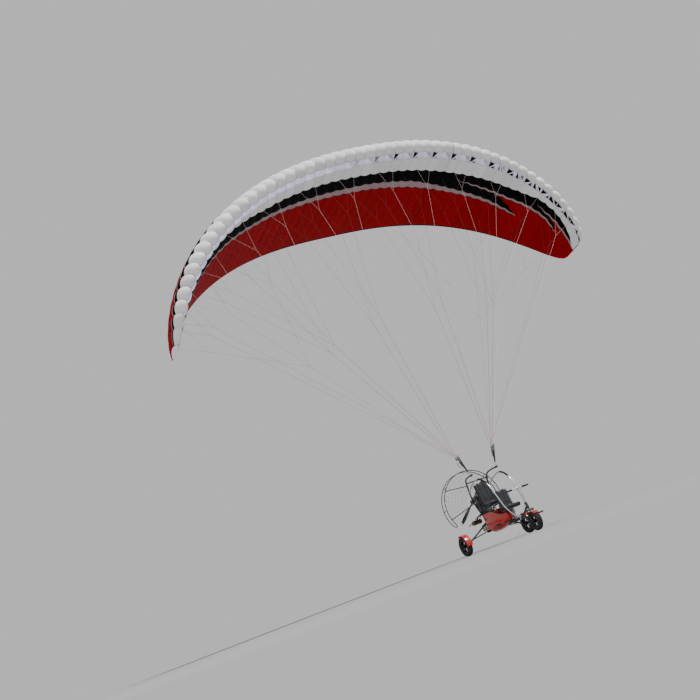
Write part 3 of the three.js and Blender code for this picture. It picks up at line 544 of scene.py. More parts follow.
def cylinder(mesh, start, end, radius, end_radius=None, sides=24):
    """A round bar between two points, with flat ends."""
    along = end - start
    turn = along.to_track_quat("Z", "Y").to_matrix().to_4x4()
    bmesh.ops.create_cone(
        mesh, cap_ends=True, segments=sides, radius1=radius, depth=along.length,
        radius2=radius if end_radius is None else end_radius,
        matrix=Matrix.Translation((start + end) / 2) @ turn)


def rod(mesh, start, end, radius, end_radius=None, sides=24, place=on_craft):
    """The same between two places on the craft, or on its steering."""
    cylinder(mesh, place(*start), place(*end), radius, end_radius, sides)


def attachment(side, seam, root):
    return seam_point(cell_count // 2 + side * seam, root, 0)


def placed_axes(across, aft, up, origin):
    """The matrix that turns X, Y and Z into three directions, about a new origin."""
    placed = Matrix((across, aft, up)).transposed().to_4x4()
    placed.translation = origin
    return placed


def riser_frame(side):
    """The riser's frame: Z runs up it to the wing, Y aft, and its origin is on the arm."""
    origin = on_craft(side * hang_x, 0, hang_z)
    tops = [skin_point(side * line_groups[group][0], line_rows[row])
            for row in "ac" for group in ("inner", "outer")]
    up = (sum(tops, Vector()) / len(tops) - origin).normalized()
    aft = (y_axis - up.y * up).normalized()
    across = aft.cross(up)
    return placed_axes(across, aft, up, origin)


row_places = {"a": -riser_spread, "b": 0.0, "c": riser_spread}
line_foot_z = riser_length + 0.03
for side, side_name in both_sides:
    to_riser = riser_frame(side)
    for row, root in line_rows.items():
        lines = bmesh.new()
        for group, (middle_span, pairs) in line_groups.items():
            across = {"inner": -0.01, "outer": 0.01, "tip": 0.0}[group] * side
            foot = to_riser @ Vector((across, row_places[row], line_foot_z))
            fork_point = foot.lerp(skin_point(side * middle_span, root), trunk_share)
            if len(pairs) > 1:
                cylinder(lines, foot, fork_point, trunk_radius, sides=8)
            for pair in pairs:
                ends = [attachment(side, seam, root) for seam in pair]
                start = fork_point if len(pairs) > 1 else foot
                join_point = foot.lerp((ends[0] + ends[1]) / 2, pair_share)
                cylinder(lines, start, join_point, branch_radius * 1.15, sides=8)
                for end in ends:
                    cylinder(lines, join_point, end, branch_radius, sides=8)
        stands_for = [f"line_{row}_{group}_{side_name}" for group in ("inner", "outer") if row != "b"]
        finish_piece(f"lines_{row}_{side_name}", lines,
                     front_line_material if row == "a" else rear_line_material, stands_for)

# Brake lines: one thin line per side from the brake handle on the rear strap up to the trailing edge,
# which it pulls down through three forks.
brake_seams = [(7, 11), (14, 17), (20, 23)]
for side, side_name in both_sides:
    to_riser = riser_frame(side)
    foot = to_riser @ Vector((side * 0.02, riser_spread + 0.012, riser_length - 0.08))
    lines = bmesh.new()
    middle = foot.lerp(skin_point(side * 0.62, -1), 0.55)
    cylinder(lines, foot, middle, branch_radius, sides=8)
    for pair in brake_seams:
        ends = [attachment(side, seam, -0.995) for seam in pair]
        join_point = foot.lerp((ends[0] + ends[1]) / 2, 0.88)
        cylinder(lines, middle, join_point, branch_radius * 0.9, sides=8)
        for end in ends:
            cylinder(lines, join_point, end, branch_radius * 0.8, sides=8)
    finish_piece(f"lines_brake_{side_name}", lines, rear_line_material)

# Risers: black polyester webbing, 22 mm wide, sewn to an eye at the foot. Each strap ends in an oval
# steel link that holds its lines, and the rear strap carries a pulley and the brake handle.
webbing_material, tree, shader = start_material("polyester_webbing", "#191b22", 0.8)
weave = texture(tree, "Wave", {"Scale": 160.0, "Distortion": 0.6},
                wave_type="BANDS", bands_direction="DIAGONAL")
dust = texture(tree, "Noise", {"Scale": 30.0, "Detail": 5.0})
dress(tree, shader, drift=dust, tint=("#14151b", "#2b2e38"), grain=weave, lift=(0.5, 0.0008))


def turned_frames(path, across=None):
    """A frame at each point of a path: Z runs along it, and X keeps to one side."""
    frames = []
    keep = across
    for i, point in enumerate(path):
        along = (path[min(i + 1, len(path) - 1)] - path[max(i - 1, 0)]).normalized()
        if keep is None:
            keep = along.orthogonal()
        sideways = (keep - keep.dot(along) * along).normalized()
        frames.append(placed_axes(sideways, along.cross(sideways), along, point))
        if across is None:
            keep = sideways
    return frames


def extrude_ring(mesh, edges):
    """Extrudes a ring of edges; gives the new edges and their points."""
    made = bmesh.ops.extrude_edge_only(mesh, edges=edges)["geom"]
    verts = [item for item in made if isinstance(item, bmesh.types.BMVert)]
    moved = set(verts)
    return [item for item in made if isinstance(item, bmesh.types.BMEdge) and set(item.verts) <= moved], verts


def sweep(mesh, path, radius, sides=20, across=None, flat=1.0, scales=None):
    """A round or flattened bar along a path of points, made by extruding a circle from point to point."""
    frames = turned_frames(path, across)
    scales = scales or [1.0] * len(path)
    first = Matrix.Diagonal((scales[0], flat * scales[0], 1, 1))
    made = bmesh.ops.create_circle(
        mesh, cap_ends=True, segments=sides, radius=radius, matrix=frames[0] @ first)
    edges = list({edge for vert in made["verts"] for edge in vert.link_edges})
    for i in range(1, len(path)):
        edges, verts = extrude_ring(mesh, edges)
        grow = scales[i] / scales[i - 1]
        step = frames[i] @ Matrix.Diagonal((grow, grow, 1, 1)) @ frames[i - 1].inverted()
        bmesh.ops.transform(mesh, matrix=step, verts=verts)
    bmesh.ops.contextual_create(mesh, geom=edges)


def round_loop(half_width, straight, turn_steps=10):
    """A closed oval path in the XZ plane: two half turns joined by straights, foot turn at the origin."""
    path = []
    for start_angle, height in ((0, straight), (math.pi, 0)):
        for i in range(turn_steps + 1):
            angle = start_angle + math.pi * i / turn_steps
            path.append(Vector((half_width * math.cos(angle), 0, height + half_width * math.sin(angle))))
    path.append(path[0].copy())
    return path


def block(mesh, low, high, edge=0.003, turn=craft_turn, segments=2):
    """A box between two corners with rounded edges, placed by a turn or else on the craft."""
    low, high = Vector(low), Vector(high)
    size = high - low
    matrix = turn @ Matrix.Translation((low + high) / 2) @ Matrix.Diagonal((*size, 1))
    made = bmesh.ops.create_cube(mesh, size=1, matrix=matrix)
    edges = list({item for vert in made["verts"] for item in vert.link_edges})
    if edge:
        bmesh.ops.bevel(mesh, geom=edges, offset=edge, segments=segments, profile=0.5, affect="EDGES",
                        material=-1)


steel_material = surface("polished_steel", "#b4b7ba", 0.22, 1.0, drift=(45.0, 6.0), gloss=(0.14, 0.36))
handle_material = surface("moulded_nylon_red", "#a8151a", 0.5)

ring_foot = -0.017
ring_half = 0.0245
ring_straight = 0.07
eye_z = ring_foot + 2 * 0.019 + ring_straight - 0.0045 + 0.012
for side, side_name in both_sides:
    to_riser = riser_frame(side)
    riser_across, riser_aft = [to_riser.to_3x3() @ axis for axis in (x_axis, y_axis)]
    oval = [to_riser @ (Matrix.Rotation(math.pi / 2, 3, "Z") @ point + Vector((0, 0, ring_foot + 0.019)))
            for point in round_loop(ring_half, ring_straight)]
    ring = bmesh.new()
    sweep(ring, oval, 0.0052, sides=14, across=riser_across)
    finish_piece(f"carabiner_{side_name}", ring, steel_material, [f"hang_ring_{side_name}"])

    straps = bmesh.new()
    eye = [to_riser @ (point + Vector((0, 0, eye_z))) for point in round_loop(0.0145, 0.01, 8)]
    sweep(straps, eye, 0.011, sides=12, across=riser_aft, flat=0.2)
    foot = Vector((0, 0, eye_z + 0.02))
    block(straps, (-0.012, -0.014, 0.0), (0.012, 0.014, 0.05), 0.004, to_riser @ Matrix.Translation(foot))
    for row, place_y in row_places.items():
        top = Vector((0, place_y, riser_length))
        path = [to_riser @ foot.lerp(top, i / 10) for i in range(11)]
        sweep(straps, path, 0.0115, sides=12, across=riser_across, flat=0.16)
        lean = (top - foot).to_track_quat("Z", "Y").to_matrix().to_4x4()
        for share in (0.16, 0.86):
            patch = to_riser @ Matrix.Translation(foot.lerp(top, share)) @ lean
            block(straps, (-0.012, -0.0034, -0.028), (0.012, 0.0034, 0.028), 0.0015, patch)
    finish_piece(f"riser_straps_{side_name}", straps, webbing_material, [f"riser_{side_name}"])

    links = bmesh.new()
    for row, place_y in row_places.items():
        base = Vector((0, place_y, riser_length - 0.004))
        loop = [to_riser @ (base + point) for point in round_loop(0.011, 0.016, 8)]
        sweep(links, loop, 0.0026, sides=10, across=riser_aft)
        nut = to_riser @ (base + Vector((0.011, 0, 0.002))), to_riser @ (base + Vector((0.011, 0, 0.015)))
        cylinder(links, *nut, 0.0042, sides=6)
    wheel_at = Vector((side * 0.012, riser_spread * 0.72, riser_length * 0.78))
    cylinder(links, to_riser @ (wheel_at - Vector((0.005, 0, 0))),
             to_riser @ (wheel_at + Vector((0.005, 0, 0))), 0.012)
    finish_piece(f"riser_links_{side_name}", links, steel_material)

    toggle = bmesh.new()
    grip_at = Vector((side * 0.02, riser_spread * 0.86, riser_length * 0.6))
    loop = [to_riser @ (grip_at + point) for point in round_loop(0.032, 0.07, 10)]
    sweep(toggle, loop, 0.007, sides=12, across=riser_aft, flat=0.6)
    finish_piece(f"brake_handle_{side_name}", toggle, handle_material)

# Frame: round steel tube, cut, bent and welded, then powder-coated satin black. The square keel carries
# the head tube; two uprights rise behind the rear seat and bend forward into the hang arms.
frame_radius = 0.016
keel_half = 0.025
keel_z = 0.33
keel_top = keel_z + keel_half
seat_gap = 0.0003  # between pieces that rest on each other
frame_material, tree, shader = start_material(
    "powder_coated_steel", "#17181b", 0.42, values={"Coat Weight": 0.15, "Coat Roughness": 0.3})
peel = texture(tree, "Noise", {"Scale": 420.0, "Detail": 2.0})
scuffs = texture(tree, "Noise", {"Scale": 14.0, "Detail": 8.0, "Roughness": 0.7})
dress(tree, shader, drift=ramp(tree, scuffs, 0.62, 0.74), tint=("#17181b", "#3a3b3e"))
dress(tree, shader, drift=scuffs, gloss=(0.34, 0.55), grain=peel, lift=(0.25, 0.0004))


def smooth_path(corners, steps):
    """Evenly spaced points on a smooth curve through the corners, a centripetal spline."""
    ends = [2 * corners[0] - corners[1], *corners, 2 * corners[-1] - corners[-2]]
    fine = []
    for before, start, end, after in zip(ends, ends[1:], ends[2:], ends[3:]):
        gaps = [max((b - a).length, 1e-6) ** 0.5 for a, b in ((before, start), (start, end), (end, after))]
        leave = (start - before) / gaps[0] - (end - before) / (gaps[0] + gaps[1]) + (end - start) / gaps[1]
        arrive = (end - start) / gaps[1] - (after - start) / (gaps[1] + gaps[2]) + (after - end) / gaps[2]
        for i in range(24):
            t = i / 24
            fine.append((2 * t**3 - 3 * t**2 + 1) * start + (t**3 - 2 * t**2 + t) * gaps[1] * leave
                        + (3 * t**2 - 2 * t**3) * end + (t**3 - t**2) * gaps[1] * arrive)
    fine.append(corners[-1].copy())
    lengths = [0.0]
    for a, b in zip(fine, fine[1:]):
        lengths.append(lengths[-1] + (b - a).length)
    path, k = [], 0
    for i in range(steps + 1):
        goal = lengths[-1] * i / steps
        while k < len(fine) - 2 and lengths[k + 1] < goal:
            k += 1
        share = (goal - lengths[k]) / max(lengths[k + 1] - lengths[k], 1e-9)
        path.append(fine[k].lerp(fine[k + 1], min(max(share, 0), 1)))
    return path


def craft_path(corners, side=1, steps=None):
    """A smooth path from places on the craft; without steps, the places themselves."""
    places = [on_craft(side * x, y, z) for x, y, z in corners]
    return smooth_path(places, steps) if steps else places


rake = math.radians(15)
head_place = on_craft(0, -1.12, 0.52)
steer = Matrix.Translation(head_place) @ Matrix.Rotation(-rake, 4, "X")
steer_up = steer.to_3x3() @ z_axis


def on_steering(x, y, z):
    """A place in the steering's own frame, whose Z runs up the raked head tube."""
    return steer @ Vector((x, y, z))


keel = bmesh.new()
block(keel, (-keel_half, -keel_rear, keel_z - keel_half), (keel_half, keel_rear, keel_top), 0.004,
      segments=3)
rod(keel, (0, -0.775, keel_z), (0, -1.115, 0.508), 0.022, sides=32)
bmesh.ops.create_uvsphere(keel, u_segments=24, v_segments=14, radius=0.0245,
                          matrix=Matrix.Translation(on_craft(0, -0.776, keel_z)))
rod(keel, (0, 0, -0.055), (0, 0, 0.055), 0.025, sides=36, place=on_steering)
for z in (-0.058, 0.05):
    rod(keel, (0, 0, z), (0, 0, z + 0.008), 0.0285, sides=36, place=on_steering)
gusset = craft_turn @ Matrix.Translation((0, -0.86, 0.39)) @ Matrix.Rotation(math.radians(-27.5), 4, "X")
block(keel, (-0.004, -0.12, -0.028), (0.004, 0.12, 0.012), 0.001, gusset)
finish_piece("keel_tube", keel, frame_material, ["keel"])

upright_corners = [
    (0.0415, 0.5, 0.308), (0.0415, 0.5, 0.4), (0.13, 0.492, 0.64), (0.235, 0.476, 1.0), (0.25, 0.452, 1.33),
    (0.264, 0.395, 1.455), (0.29, 0.2, 1.498), (hang_x, 0.03, hang_z), (hang_x, -0.06, hang_z),
]
for side, side_name in both_sides:
    upright = bmesh.new()
    path = craft_path(upright_corners, side, 56)
    sweep(upright, path, frame_radius, sides=24)
    # a moulded cap closes the arm, and two welded collars keep the hang ring in its place
    rod(upright, (side * hang_x, -0.06, hang_z), (side * hang_x, -0.068, hang_z), 0.0175, 0.012)
    for y in (-0.021, 0.021):
        rod(upright, (side * hang_x, y - 0.003, hang_z), (side * hang_x, y + 0.003, hang_z), 0.021)
    finish_piece(f"upright_tube_{side_name}", upright, frame_material,
                 [f"upright_{side_name}"])

top_bar_y, top_bar_z = 0.425, 1.398
top_bar = bmesh.new()
rod(top_bar, (-0.25, top_bar_y, top_bar_z), (0.25, top_bar_y, top_bar_z), 0.014)
for x in (-0.09, 0.09):
    rod(top_bar, (x - 0.012, top_bar_y, top_bar_z), (x + 0.012, top_bar_y, top_bar_z), 0.0175)
finish_piece("top_bar_tube", top_bar, frame_material, ["top_cross_bar"])

# Side hoops: polished stainless tube, bent in one piece from the upright over the seats down to the keel,
# where a welded flange bolts it on. They fence in both seats.
bright_material, tree, shader = start_material("polished_stainless", "#c9ccd0", 0.2, 1.0)
brushing = texture(tree, "Noise", {"Scale": 1.0, "Detail": 3.0}, stretch=(900.0, 40.0, 900.0))
dress(tree, shader, drift=brushing, gloss=(0.14, 0.34))
hoop_corners = [
    (0.252, 0.462, 1.205), (0.262, 0.2, 1.325), (0.265, -0.12, 1.375), (0.262, -0.4, 1.23),
    (0.25, -0.57, 0.93), (0.226, -0.69, 0.65), (0.13, -0.748, 0.44), (0.0378, -0.762, 0.362),
    (0.0378, -0.764, 0.31),
]
pad_material = surface("foam_grip_rubber", "#131315", 0.85)
for side, side_name in both_sides:
    hoop = bmesh.new()
    path = craft_path(hoop_corners, side, 60)
    sweep(hoop, path, 0.0125, sides=24)
    for i in (2, 55):
        cylinder(hoop, path[i], path[i + 1], 0.0165)
    finish_piece(f"side_hoop_tube_{side_name}", hoop, bright_material,
                 [f"side_hoop_{side_name}"])
    # a black foam sleeve where the passengers hold on
    sleeve = bmesh.new()
    sweep(sleeve, path[19:29], 0.0185, sides=24)
    finish_piece(f"hoop_sleeve_{side_name}", sleeve, pad_material)

# Rear legs: one straight steel tube a side from the upright out to the wheel, with a turned boss and the
# stub axle welded in. A thinner brace holds each from the keel's tail.
axle_y = 0.48
half_track = 0.775
rear_radius = 0.215
leg_end_x = half_track - 0.04 - 0.022
for side, side_name in both_sides:
    leg = bmesh.new()
    foot = on_craft(side * leg_end_x, axle_y, rear_radius)
    cylinder(leg, on_craft(side * 0.104, 0.497, 0.515), foot, 0.018, sides=32)
    rod(leg, (side * (leg_end_x - 0.026), axle_y, rear_radius),
        (side * (leg_end_x + 0.01), axle_y, rear_radius), 0.024, sides=32)
    cylinder(leg, foot, on_craft(side * (half_track + 0.052), axle_y, rear_radius), 0.0098)
    rod(leg, (side * (half_track + 0.042), axle_y, rear_radius),
        (side * (half_track + 0.052), axle_y, rear_radius), 0.017, sides=6)
    brace_start = on_craft(side * 0.03, 0.74, 0.34)
    cylinder(leg, brace_start, on_craft(side * 0.56, axle_y + 0.012, 0.285), 0.011)
    block(leg, (-0.012, 0.715, 0.318), (0.012, 0.765, 0.35), 0.002,
          craft_turn @ Matrix.Translation((side * 0.037, 0, 0)))
    finish_piece(f"rear_leg_tube_{side_name}", leg, frame_material,
                 [f"rear_leg_{side_name}"])

# Tyres: black moulded rubber on each wheel, with four rows of tread blocks and raised rings on the side
# walls. Rubber dulls to a dark grey in patches of dust.
tyre_material = surface("vulcanised_rubber", "#151515", 0.82, drift=(9.0, 6.0), tint=("#121212", "#33302c"),
                        grain=(260.0, 4.0), lift=(0.4, 0.0006))

# Rims: cast alloy, painted satin black, with five spokes, a round hub and a valve.
rim_material = surface("painted_cast_alloy", "#222327", 0.38, 0.6, grain=(180.0, 3.0), lift=(0.25, 0.0008))
tyre_side = [(0.62, 0), (0.72, 0.03), (0.86, 0.18), (0.955, 0.33), (1, 0.48), (0.985, 0.63), (0.93, 0.76),
             (0.82, 0.88), (0.66, 0.955), (0.52, 0.978), (0.48, 0.93), (0.42, 0.93), (0.38, 0.985),
             (0.18, 1.0), (0.1, 1.0), (0.07, 0.94), (0, 0.94)]
tread_blocks = 32
spoke_count = 5
spoke_start = 0.3


def revolve(mesh, profile, centre, axis, across, steps=48, closed=False):
    """Turns a profile of (along the axis, distance from it) points about the axis."""
    verts = [mesh.verts.new(centre + axis * along + across * out) for along, out in profile]
    pairs = list(zip(verts, verts[1:])) + ([(verts[-1], verts[0])] if closed else [])
    edges = [mesh.edges.new(pair) for pair in pairs]
    bmesh.ops.spin(mesh, geom=verts + edges, cent=centre, axis=axis, angle=2 * math.pi, steps=steps,
                   use_merge=True)
    bmesh.ops.remove_doubles(mesh, verts=[v for v in mesh.verts if v.is_valid], dist=1e-6)


def make_wheel(name, centre, body, radius, bead, half_width, hub_half, bore, nodes):
    """A treaded tyre on its five-spoke rim, about an axle along X."""
    outwards, upwards = x_axis, z_axis
    tyre = bmesh.new()
    right = [(across * half_width, bead + up * (radius - bead)) for across, up in tyre_side]
    profile = right + [(-across, out) for across, out in reversed(right[:-1])]
    revolve(tyre, profile, centre, outwards, upwards, steps=96, closed=True)
    for vert in tyre.verts:
        offset = vert.co - centre
        out = math.hypot(offset.y, offset.z)
        across = abs(offset.x) / half_width
        if out < bead + 0.9 * (radius - bead) or across > 0.7:
            continue
        turn = math.atan2(offset.z, offset.y) / (2 * math.pi) * tread_blocks
        stagger = 0.5 if 0.15 < across < 0.45 else 0.0
        if (turn + stagger) % 1 < 0.34:
            shrink = (out - 0.07 * (radius - bead)) / out
            vert.co = centre + Vector((offset.x, offset.y * shrink, offset.z * shrink))
    finish_piece(f"{name}_rubber", tyre, tyre_material, [nodes[0]], body=body, crease=28)

    rim = bmesh.new()
    seat = bead - seat_gap
    barrel = [(0.6, 0), (0.6, -0.005), (0.52, -0.0075), (0.4, -0.012), (-0.4, -0.012), (-0.52, -0.0075),
              (-0.6, -0.005), (-0.6, 0)]
    revolve(rim, [(a * half_width, seat + d) for a, d in barrel], centre, outwards, upwards, closed=True)
    hub = [(hub_half, bore), (hub_half, bore + 0.014), (0.014, bore + 0.019), (-0.014, bore + 0.019),
           (-hub_half, bore + 0.014), (-hub_half, bore)]
    revolve(rim, hub, centre, outwards, upwards, closed=True)
    for i in range(spoke_count):
        angle = 2 * math.pi * i / spoke_count + spoke_start
        turn = Matrix.Translation(centre) @ Matrix.Rotation(angle, 4, "X")
        block(rim, (-0.009, -0.013, bore + 0.012), (0.009, 0.013, seat - 0.009), 0.004, turn)
    for i in range(spoke_count):
        angle = 2 * math.pi * (i + 0.5) / spoke_count + spoke_start
        bolt = Matrix.Rotation(angle, 3, "X") @ Vector((0, 0, bore + 0.012))
        cylinder(rim, centre + bolt - outwards * 0.021, centre + bolt + outwards * 0.021, 0.0035, sides=6)
    valve = Vector((0.006, 0, seat - 0.012))
    cylinder(rim, centre + valve, centre + valve + Vector((0.02, 0, -0.018)), 0.0035, sides=10)
    finish_piece(f"{name}_cast_rim", rim, rim_material, [nodes[1]], body=body)


for side, side_name in both_sides:
    make_wheel(f"rear_wheel_{side_name}", on_craft(side * half_track, axle_y, rear_radius),
               f"rear_wheel_{side_name}", rear_radius, 0.125, 0.055, 0.04, 0.0105,
               (f"rear_tyre_{side_name}", f"rear_rim_{side_name}"))
front_drop = 0.3416
front_centre = on_steering(0, 0, -front_drop)
make_wheel("front_wheel", front_centre, "front_wheel", 0.19, 0.108, 0.05, 0.044, 0.0095,
           ("front_tyre", "front_rim"))

# Mudguards: glass-fibre shells with a gloss red gelcoat, rolled at both edges, each on a thin steel stay.
red_material = surface("red_gelcoat", "#b51208", 0.28, values={"Coat Weight": 0.6, "Coat Roughness": 0.08},
                       drift=(7.0, 6.0), tint=("#a80f07", "#c21a0c"), gloss=(0.2, 0.42))


def guard_shell(mesh, centre, inner, half_width, from_angle, to_angle):
    """A curved shell over a wheel: a thin crowned strip swept round the axle from one angle to another."""
    strip = [(-1, -0.006), (-0.97, 0.002), (-0.8, 0.004), (-0.4, 0.0055), (0, 0.006), (0.4, 0.0055),
             (0.8, 0.004), (0.97, 0.002), (1, -0.006)]
    outer = [(across * half_width, rise) for across, rise in strip]
    inner_side = [(across * half_width * 0.96, rise - 0.004) for across, rise in reversed(strip)]
    start = math.radians(from_angle)
    out = Vector((0, math.cos(start), math.sin(start)))
    verts = [mesh.verts.new(Vector((across, 0, 0)) + out * (inner + rise))
             for across, rise in outer + inner_side]
    face = mesh.faces.new(verts)
    bmesh.ops.spin(mesh, geom=[face], cent=(0, 0, 0), axis=(1, 0, 0),
                   angle=math.radians(to_angle - from_angle), steps=30)
    bmesh.ops.transform(mesh, matrix=Matrix.Translation(centre), verts=mesh.verts)


for side, side_name in both_sides:
    guard = bmesh.new()
    guard_shell(guard, on_craft(side * half_track, axle_y, rear_radius), rear_radius + 0.014, 0.062, 62, 185)
    turn = math.radians(112)
    reach = rear_radius + 0.016
    stay_x = half_track - 0.055 - 0.012
    top_y, top_z = axle_y + reach * math.cos(turn), rear_radius + reach * math.sin(turn)
    stay = craft_path([
        (stay_x, axle_y, rear_radius + 0.0255), (stay_x, (axle_y + top_y) / 2, (rear_radius + top_z) / 2),
        (stay_x, top_y, top_z - 0.006), (half_track - 0.045, top_y, top_z - 0.001)], side, 20)
    finish_piece(f"rear_mudguard_shell_{side_name}", guard, red_material,
                 [f"rear_mudguard_{side_name}"])
    stays = bmesh.new()
    sweep(stays, stay, 0.005, sides=12)
    finish_piece(f"mudguard_stay_{side_name}", stays, frame_material)

# Steering: a steel fork on the head tube with the wheel between its legs and a foot peg on each, and a
# straight polished bar on a long stem, with rubber grips, a brake lever and its cable.
fork = bmesh.new()
rod(fork, (0, 0, -0.112), (0, 0, 0.07), 0.014, sides=28, place=on_steering)
block(fork, (-0.086, -0.022, -0.112), (0.086, 0.022, -0.084), 0.004, steer)
for side in (1, -1):
    rod(fork, (side * 0.072, 0, -0.088), (side * 0.072, 0, -front_drop - 0.018), 0.012, place=on_steering)
    rod(fork, (side * 0.072, 0, -0.14), (side * 0.072, 0, -0.3), 0.0145, place=on_steering)
    rod(fork, (side * 0.072, 0, -0.215), (side * 0.25, 0, -0.215), 0.0095, place=on_steering)
    rod(fork, (side * 0.084, 0, -front_drop), (side * 0.094, 0, -front_drop), 0.014, sides=6,
        place=on_steering)
rod(fork, (-0.084, 0, -front_drop), (0.084, 0, -front_drop), 0.0088, place=on_steering)
finish_piece("fork_tubes", fork, frame_material, ["fork"], body="steering")

pegs = bmesh.new()
for side in (1, -1):
    profile = [(0.0, 0.0095)]
    for i in range(9):
        at = 0.006 + i * 0.012
        profile += [(at, 0.0135), (at + 0.007, 0.0135), (at + 0.008, 0.0118), (at + 0.011, 0.0118)]
    profile += [(0.114, 0.015), (0.12, 0.015), (0.122, 0.0)]
    revolve(pegs, profile, on_steering(side * 0.13, 0, -0.215), Vector((side, 0, 0)), steer_up, steps=20)
finish_piece("foot_pegs", pegs, pad_material, body="steering")

front_guard = bmesh.new()
guard_shell(front_guard, Vector((0, 0, -front_drop)), 0.2, 0.056, 40, 150)
cylinder(front_guard, Vector((0, 0, -front_drop + 0.204)), Vector((0, 0, -0.1125)), 0.012)
bmesh.ops.transform(front_guard, matrix=steer, verts=front_guard.verts)
finish_piece("front_mudguard_shell", front_guard, red_material, ["front_mudguard"],
             body="steering")

bar = bmesh.new()
bar_z = 0.392
rod(bar, (0, 0, 0.0703), (0, 0, bar_z), 0.014, sides=28, place=on_steering)
rod(bar, (-0.25, 0, bar_z), (0.25, 0, bar_z), 0.012, sides=28, place=on_steering)
block(bar, (-0.03, -0.019, bar_z - 0.02), (0.03, 0.019, bar_z + 0.017), 0.004, steer)
rod(bar, (0, 0, 0.0703), (0, 0, 0.11), 0.019, sides=28, place=on_steering)
finish_piece("handlebar_tube", bar, bright_material, ["handlebar"], body="steering")

grips = bmesh.new()
for side in (1, -1):
    profile = [(0.0, 0.0122), (0.001, 0.02), (0.006, 0.02)]
    for i in range(11):
        at = 0.01 + i * 0.009
        profile += [(at, 0.0165), (at + 0.006, 0.0165), (at + 0.007, 0.0152), (at + 0.0085, 0.0152)]
    profile += [(0.112, 0.0175), (0.118, 0.0165), (0.12, 0.0)]
    revolve(grips, profile, on_steering(side * 0.135, 0, bar_z), Vector((side, 0, 0)), steer_up, steps=22)
finish_piece("handlebar_grips", grips, pad_material, body="steering")

lever = bmesh.new()
block(lever, (0.1, -0.03, bar_z - 0.014), (0.13, 0.014, bar_z + 0.014), 0.003, steer)
blade_path = smooth_path([on_steering(*p) for p in (
    (0.118, -0.026, bar_z), (0.15, -0.045, bar_z), (0.2, -0.05, bar_z - 0.004),
    (0.245, -0.056, bar_z - 0.006))], 16)
sweep(lever, blade_path, 0.007, sides=12, across=steer_up, flat=0.6)
finish_piece("brake_lever", lever, frame_material, body="steering")
cable = bmesh.new()
sweep(cable, smooth_path([on_steering(*p) for p in (
    (0.1, -0.02, bar_z), (0.04, -0.045, bar_z - 0.03), (0.02, -0.04, bar_z - 0.12), (0.021, -0.02, 0.16),
    (0.024, -0.018, 0.12))], 30), 0.003, sides=10)
finish_piece("brake_cable", cable, pad_material, body="steering")

# Belly pod: a boat-shaped glass-fibre tub round the keel, in the same red gelcoat, with a rolled rim. It
# shields the passengers' legs and carries small gear behind the front seat.
pod_bow, pod_stern, pod_half, pod_bottom = -0.4, 0.392, 0.2, 0.258
pod_bow_rim, pod_stern_rim, pod_wall = 0.555, 0.69, 0.005


def pod_ring(along):
    """Half width, rim, shoulder and bottom of the pod at a share of its length from the bow."""
    fullness = math.sin((0.12 + 0.5 * along) * math.pi) ** 0.7
    ease = min(max((along - 0.1) / 0.5, 0), 1)
    rim = pod_bow_rim + (pod_stern_rim - pod_bow_rim) * ease * ease * (3 - 2 * ease)
    bottom = pod_bottom + 0.15 * (1 - along) ** 3
    return pod_half * min(1, fullness), rim, rim - 0.42 * (rim - bottom), bottom


def pod_place(along, around):
    """A place on the shell: around runs from one rim, under the keel, to the other rim."""
    half, rim, shoulder, bottom = pod_ring(along)
    y = pod_bow + (pod_stern - pod_bow) * along
    if around < 0.2:
        return on_craft(-half, y, rim + (shoulder - rim) * around / 0.2)
    if around > 0.8:
        return on_craft(half, y, shoulder + (rim - shoulder) * (around - 0.8) / 0.2)
    angle = math.pi + math.pi * (around - 0.2) / 0.6
    return on_craft(half * math.cos(angle), y, shoulder + (shoulder - bottom) * math.sin(angle))


pod = bmesh.new()
bmesh.ops.create_grid(pod, x_segments=40, y_segments=60, size=0.5)
for vert in pod.verts:
    vert.co = pod_place(vert.co.x + 0.5, vert.co.y + 0.5)
for along in (0, 1):
    before = set(pod.verts)
    bmesh.ops.create_grid(pod, x_segments=12, y_segments=60, size=0.5)
    for vert in set(pod.verts) - before:
        edge_place = pod_place(along, vert.co.y + 0.5)
        rim = pod_ring(along)[1]
        drop = vert.co.x + 0.5
        bulge = 0.02 * (4 * drop * (1 - drop)) * (-1 if along == 0 else 1) * min(1, (rim - edge_place.z) * 12)
        vert.co = edge_place + Vector((0, bulge, (rim - edge_place.z) * drop))
bmesh.ops.remove_doubles(pod, verts=pod.verts, dist=1e-5)
bmesh.ops.recalc_face_normals(pod, faces=pod.faces)
belly = finish_piece("pod_shell", pod, red_material, ["belly_pod"], crease=50, closed=False)
wall = belly.modifiers.new("wall", "SOLIDIFY")
wall.thickness = pod_wall
wall.offset = -1
trim = bmesh.new()
rim_line = [pod_place(i / 40, 0) for i in range(41)]
rim_line += [Vector((x * rim_line[-1].x, rim_line[-1].y, rim_line[-1].z)) for x in (0.5, 0, -0.5)]
rim_line += [pod_place(1 - i / 40, 1) for i in range(41)]
rim_line += [Vector((x * rim_line[0].x * -1, rim_line[0].y, rim_line[0].z)) for x in (0.5, 0, -0.5)]
rim_line.append(rim_line[0].copy())
sweep(trim, rim_line, 0.0065, sides=10, across=Vector((0.05, 0.05, 1)))
finish_piece("pod_rim_trim", trim, pad_material)

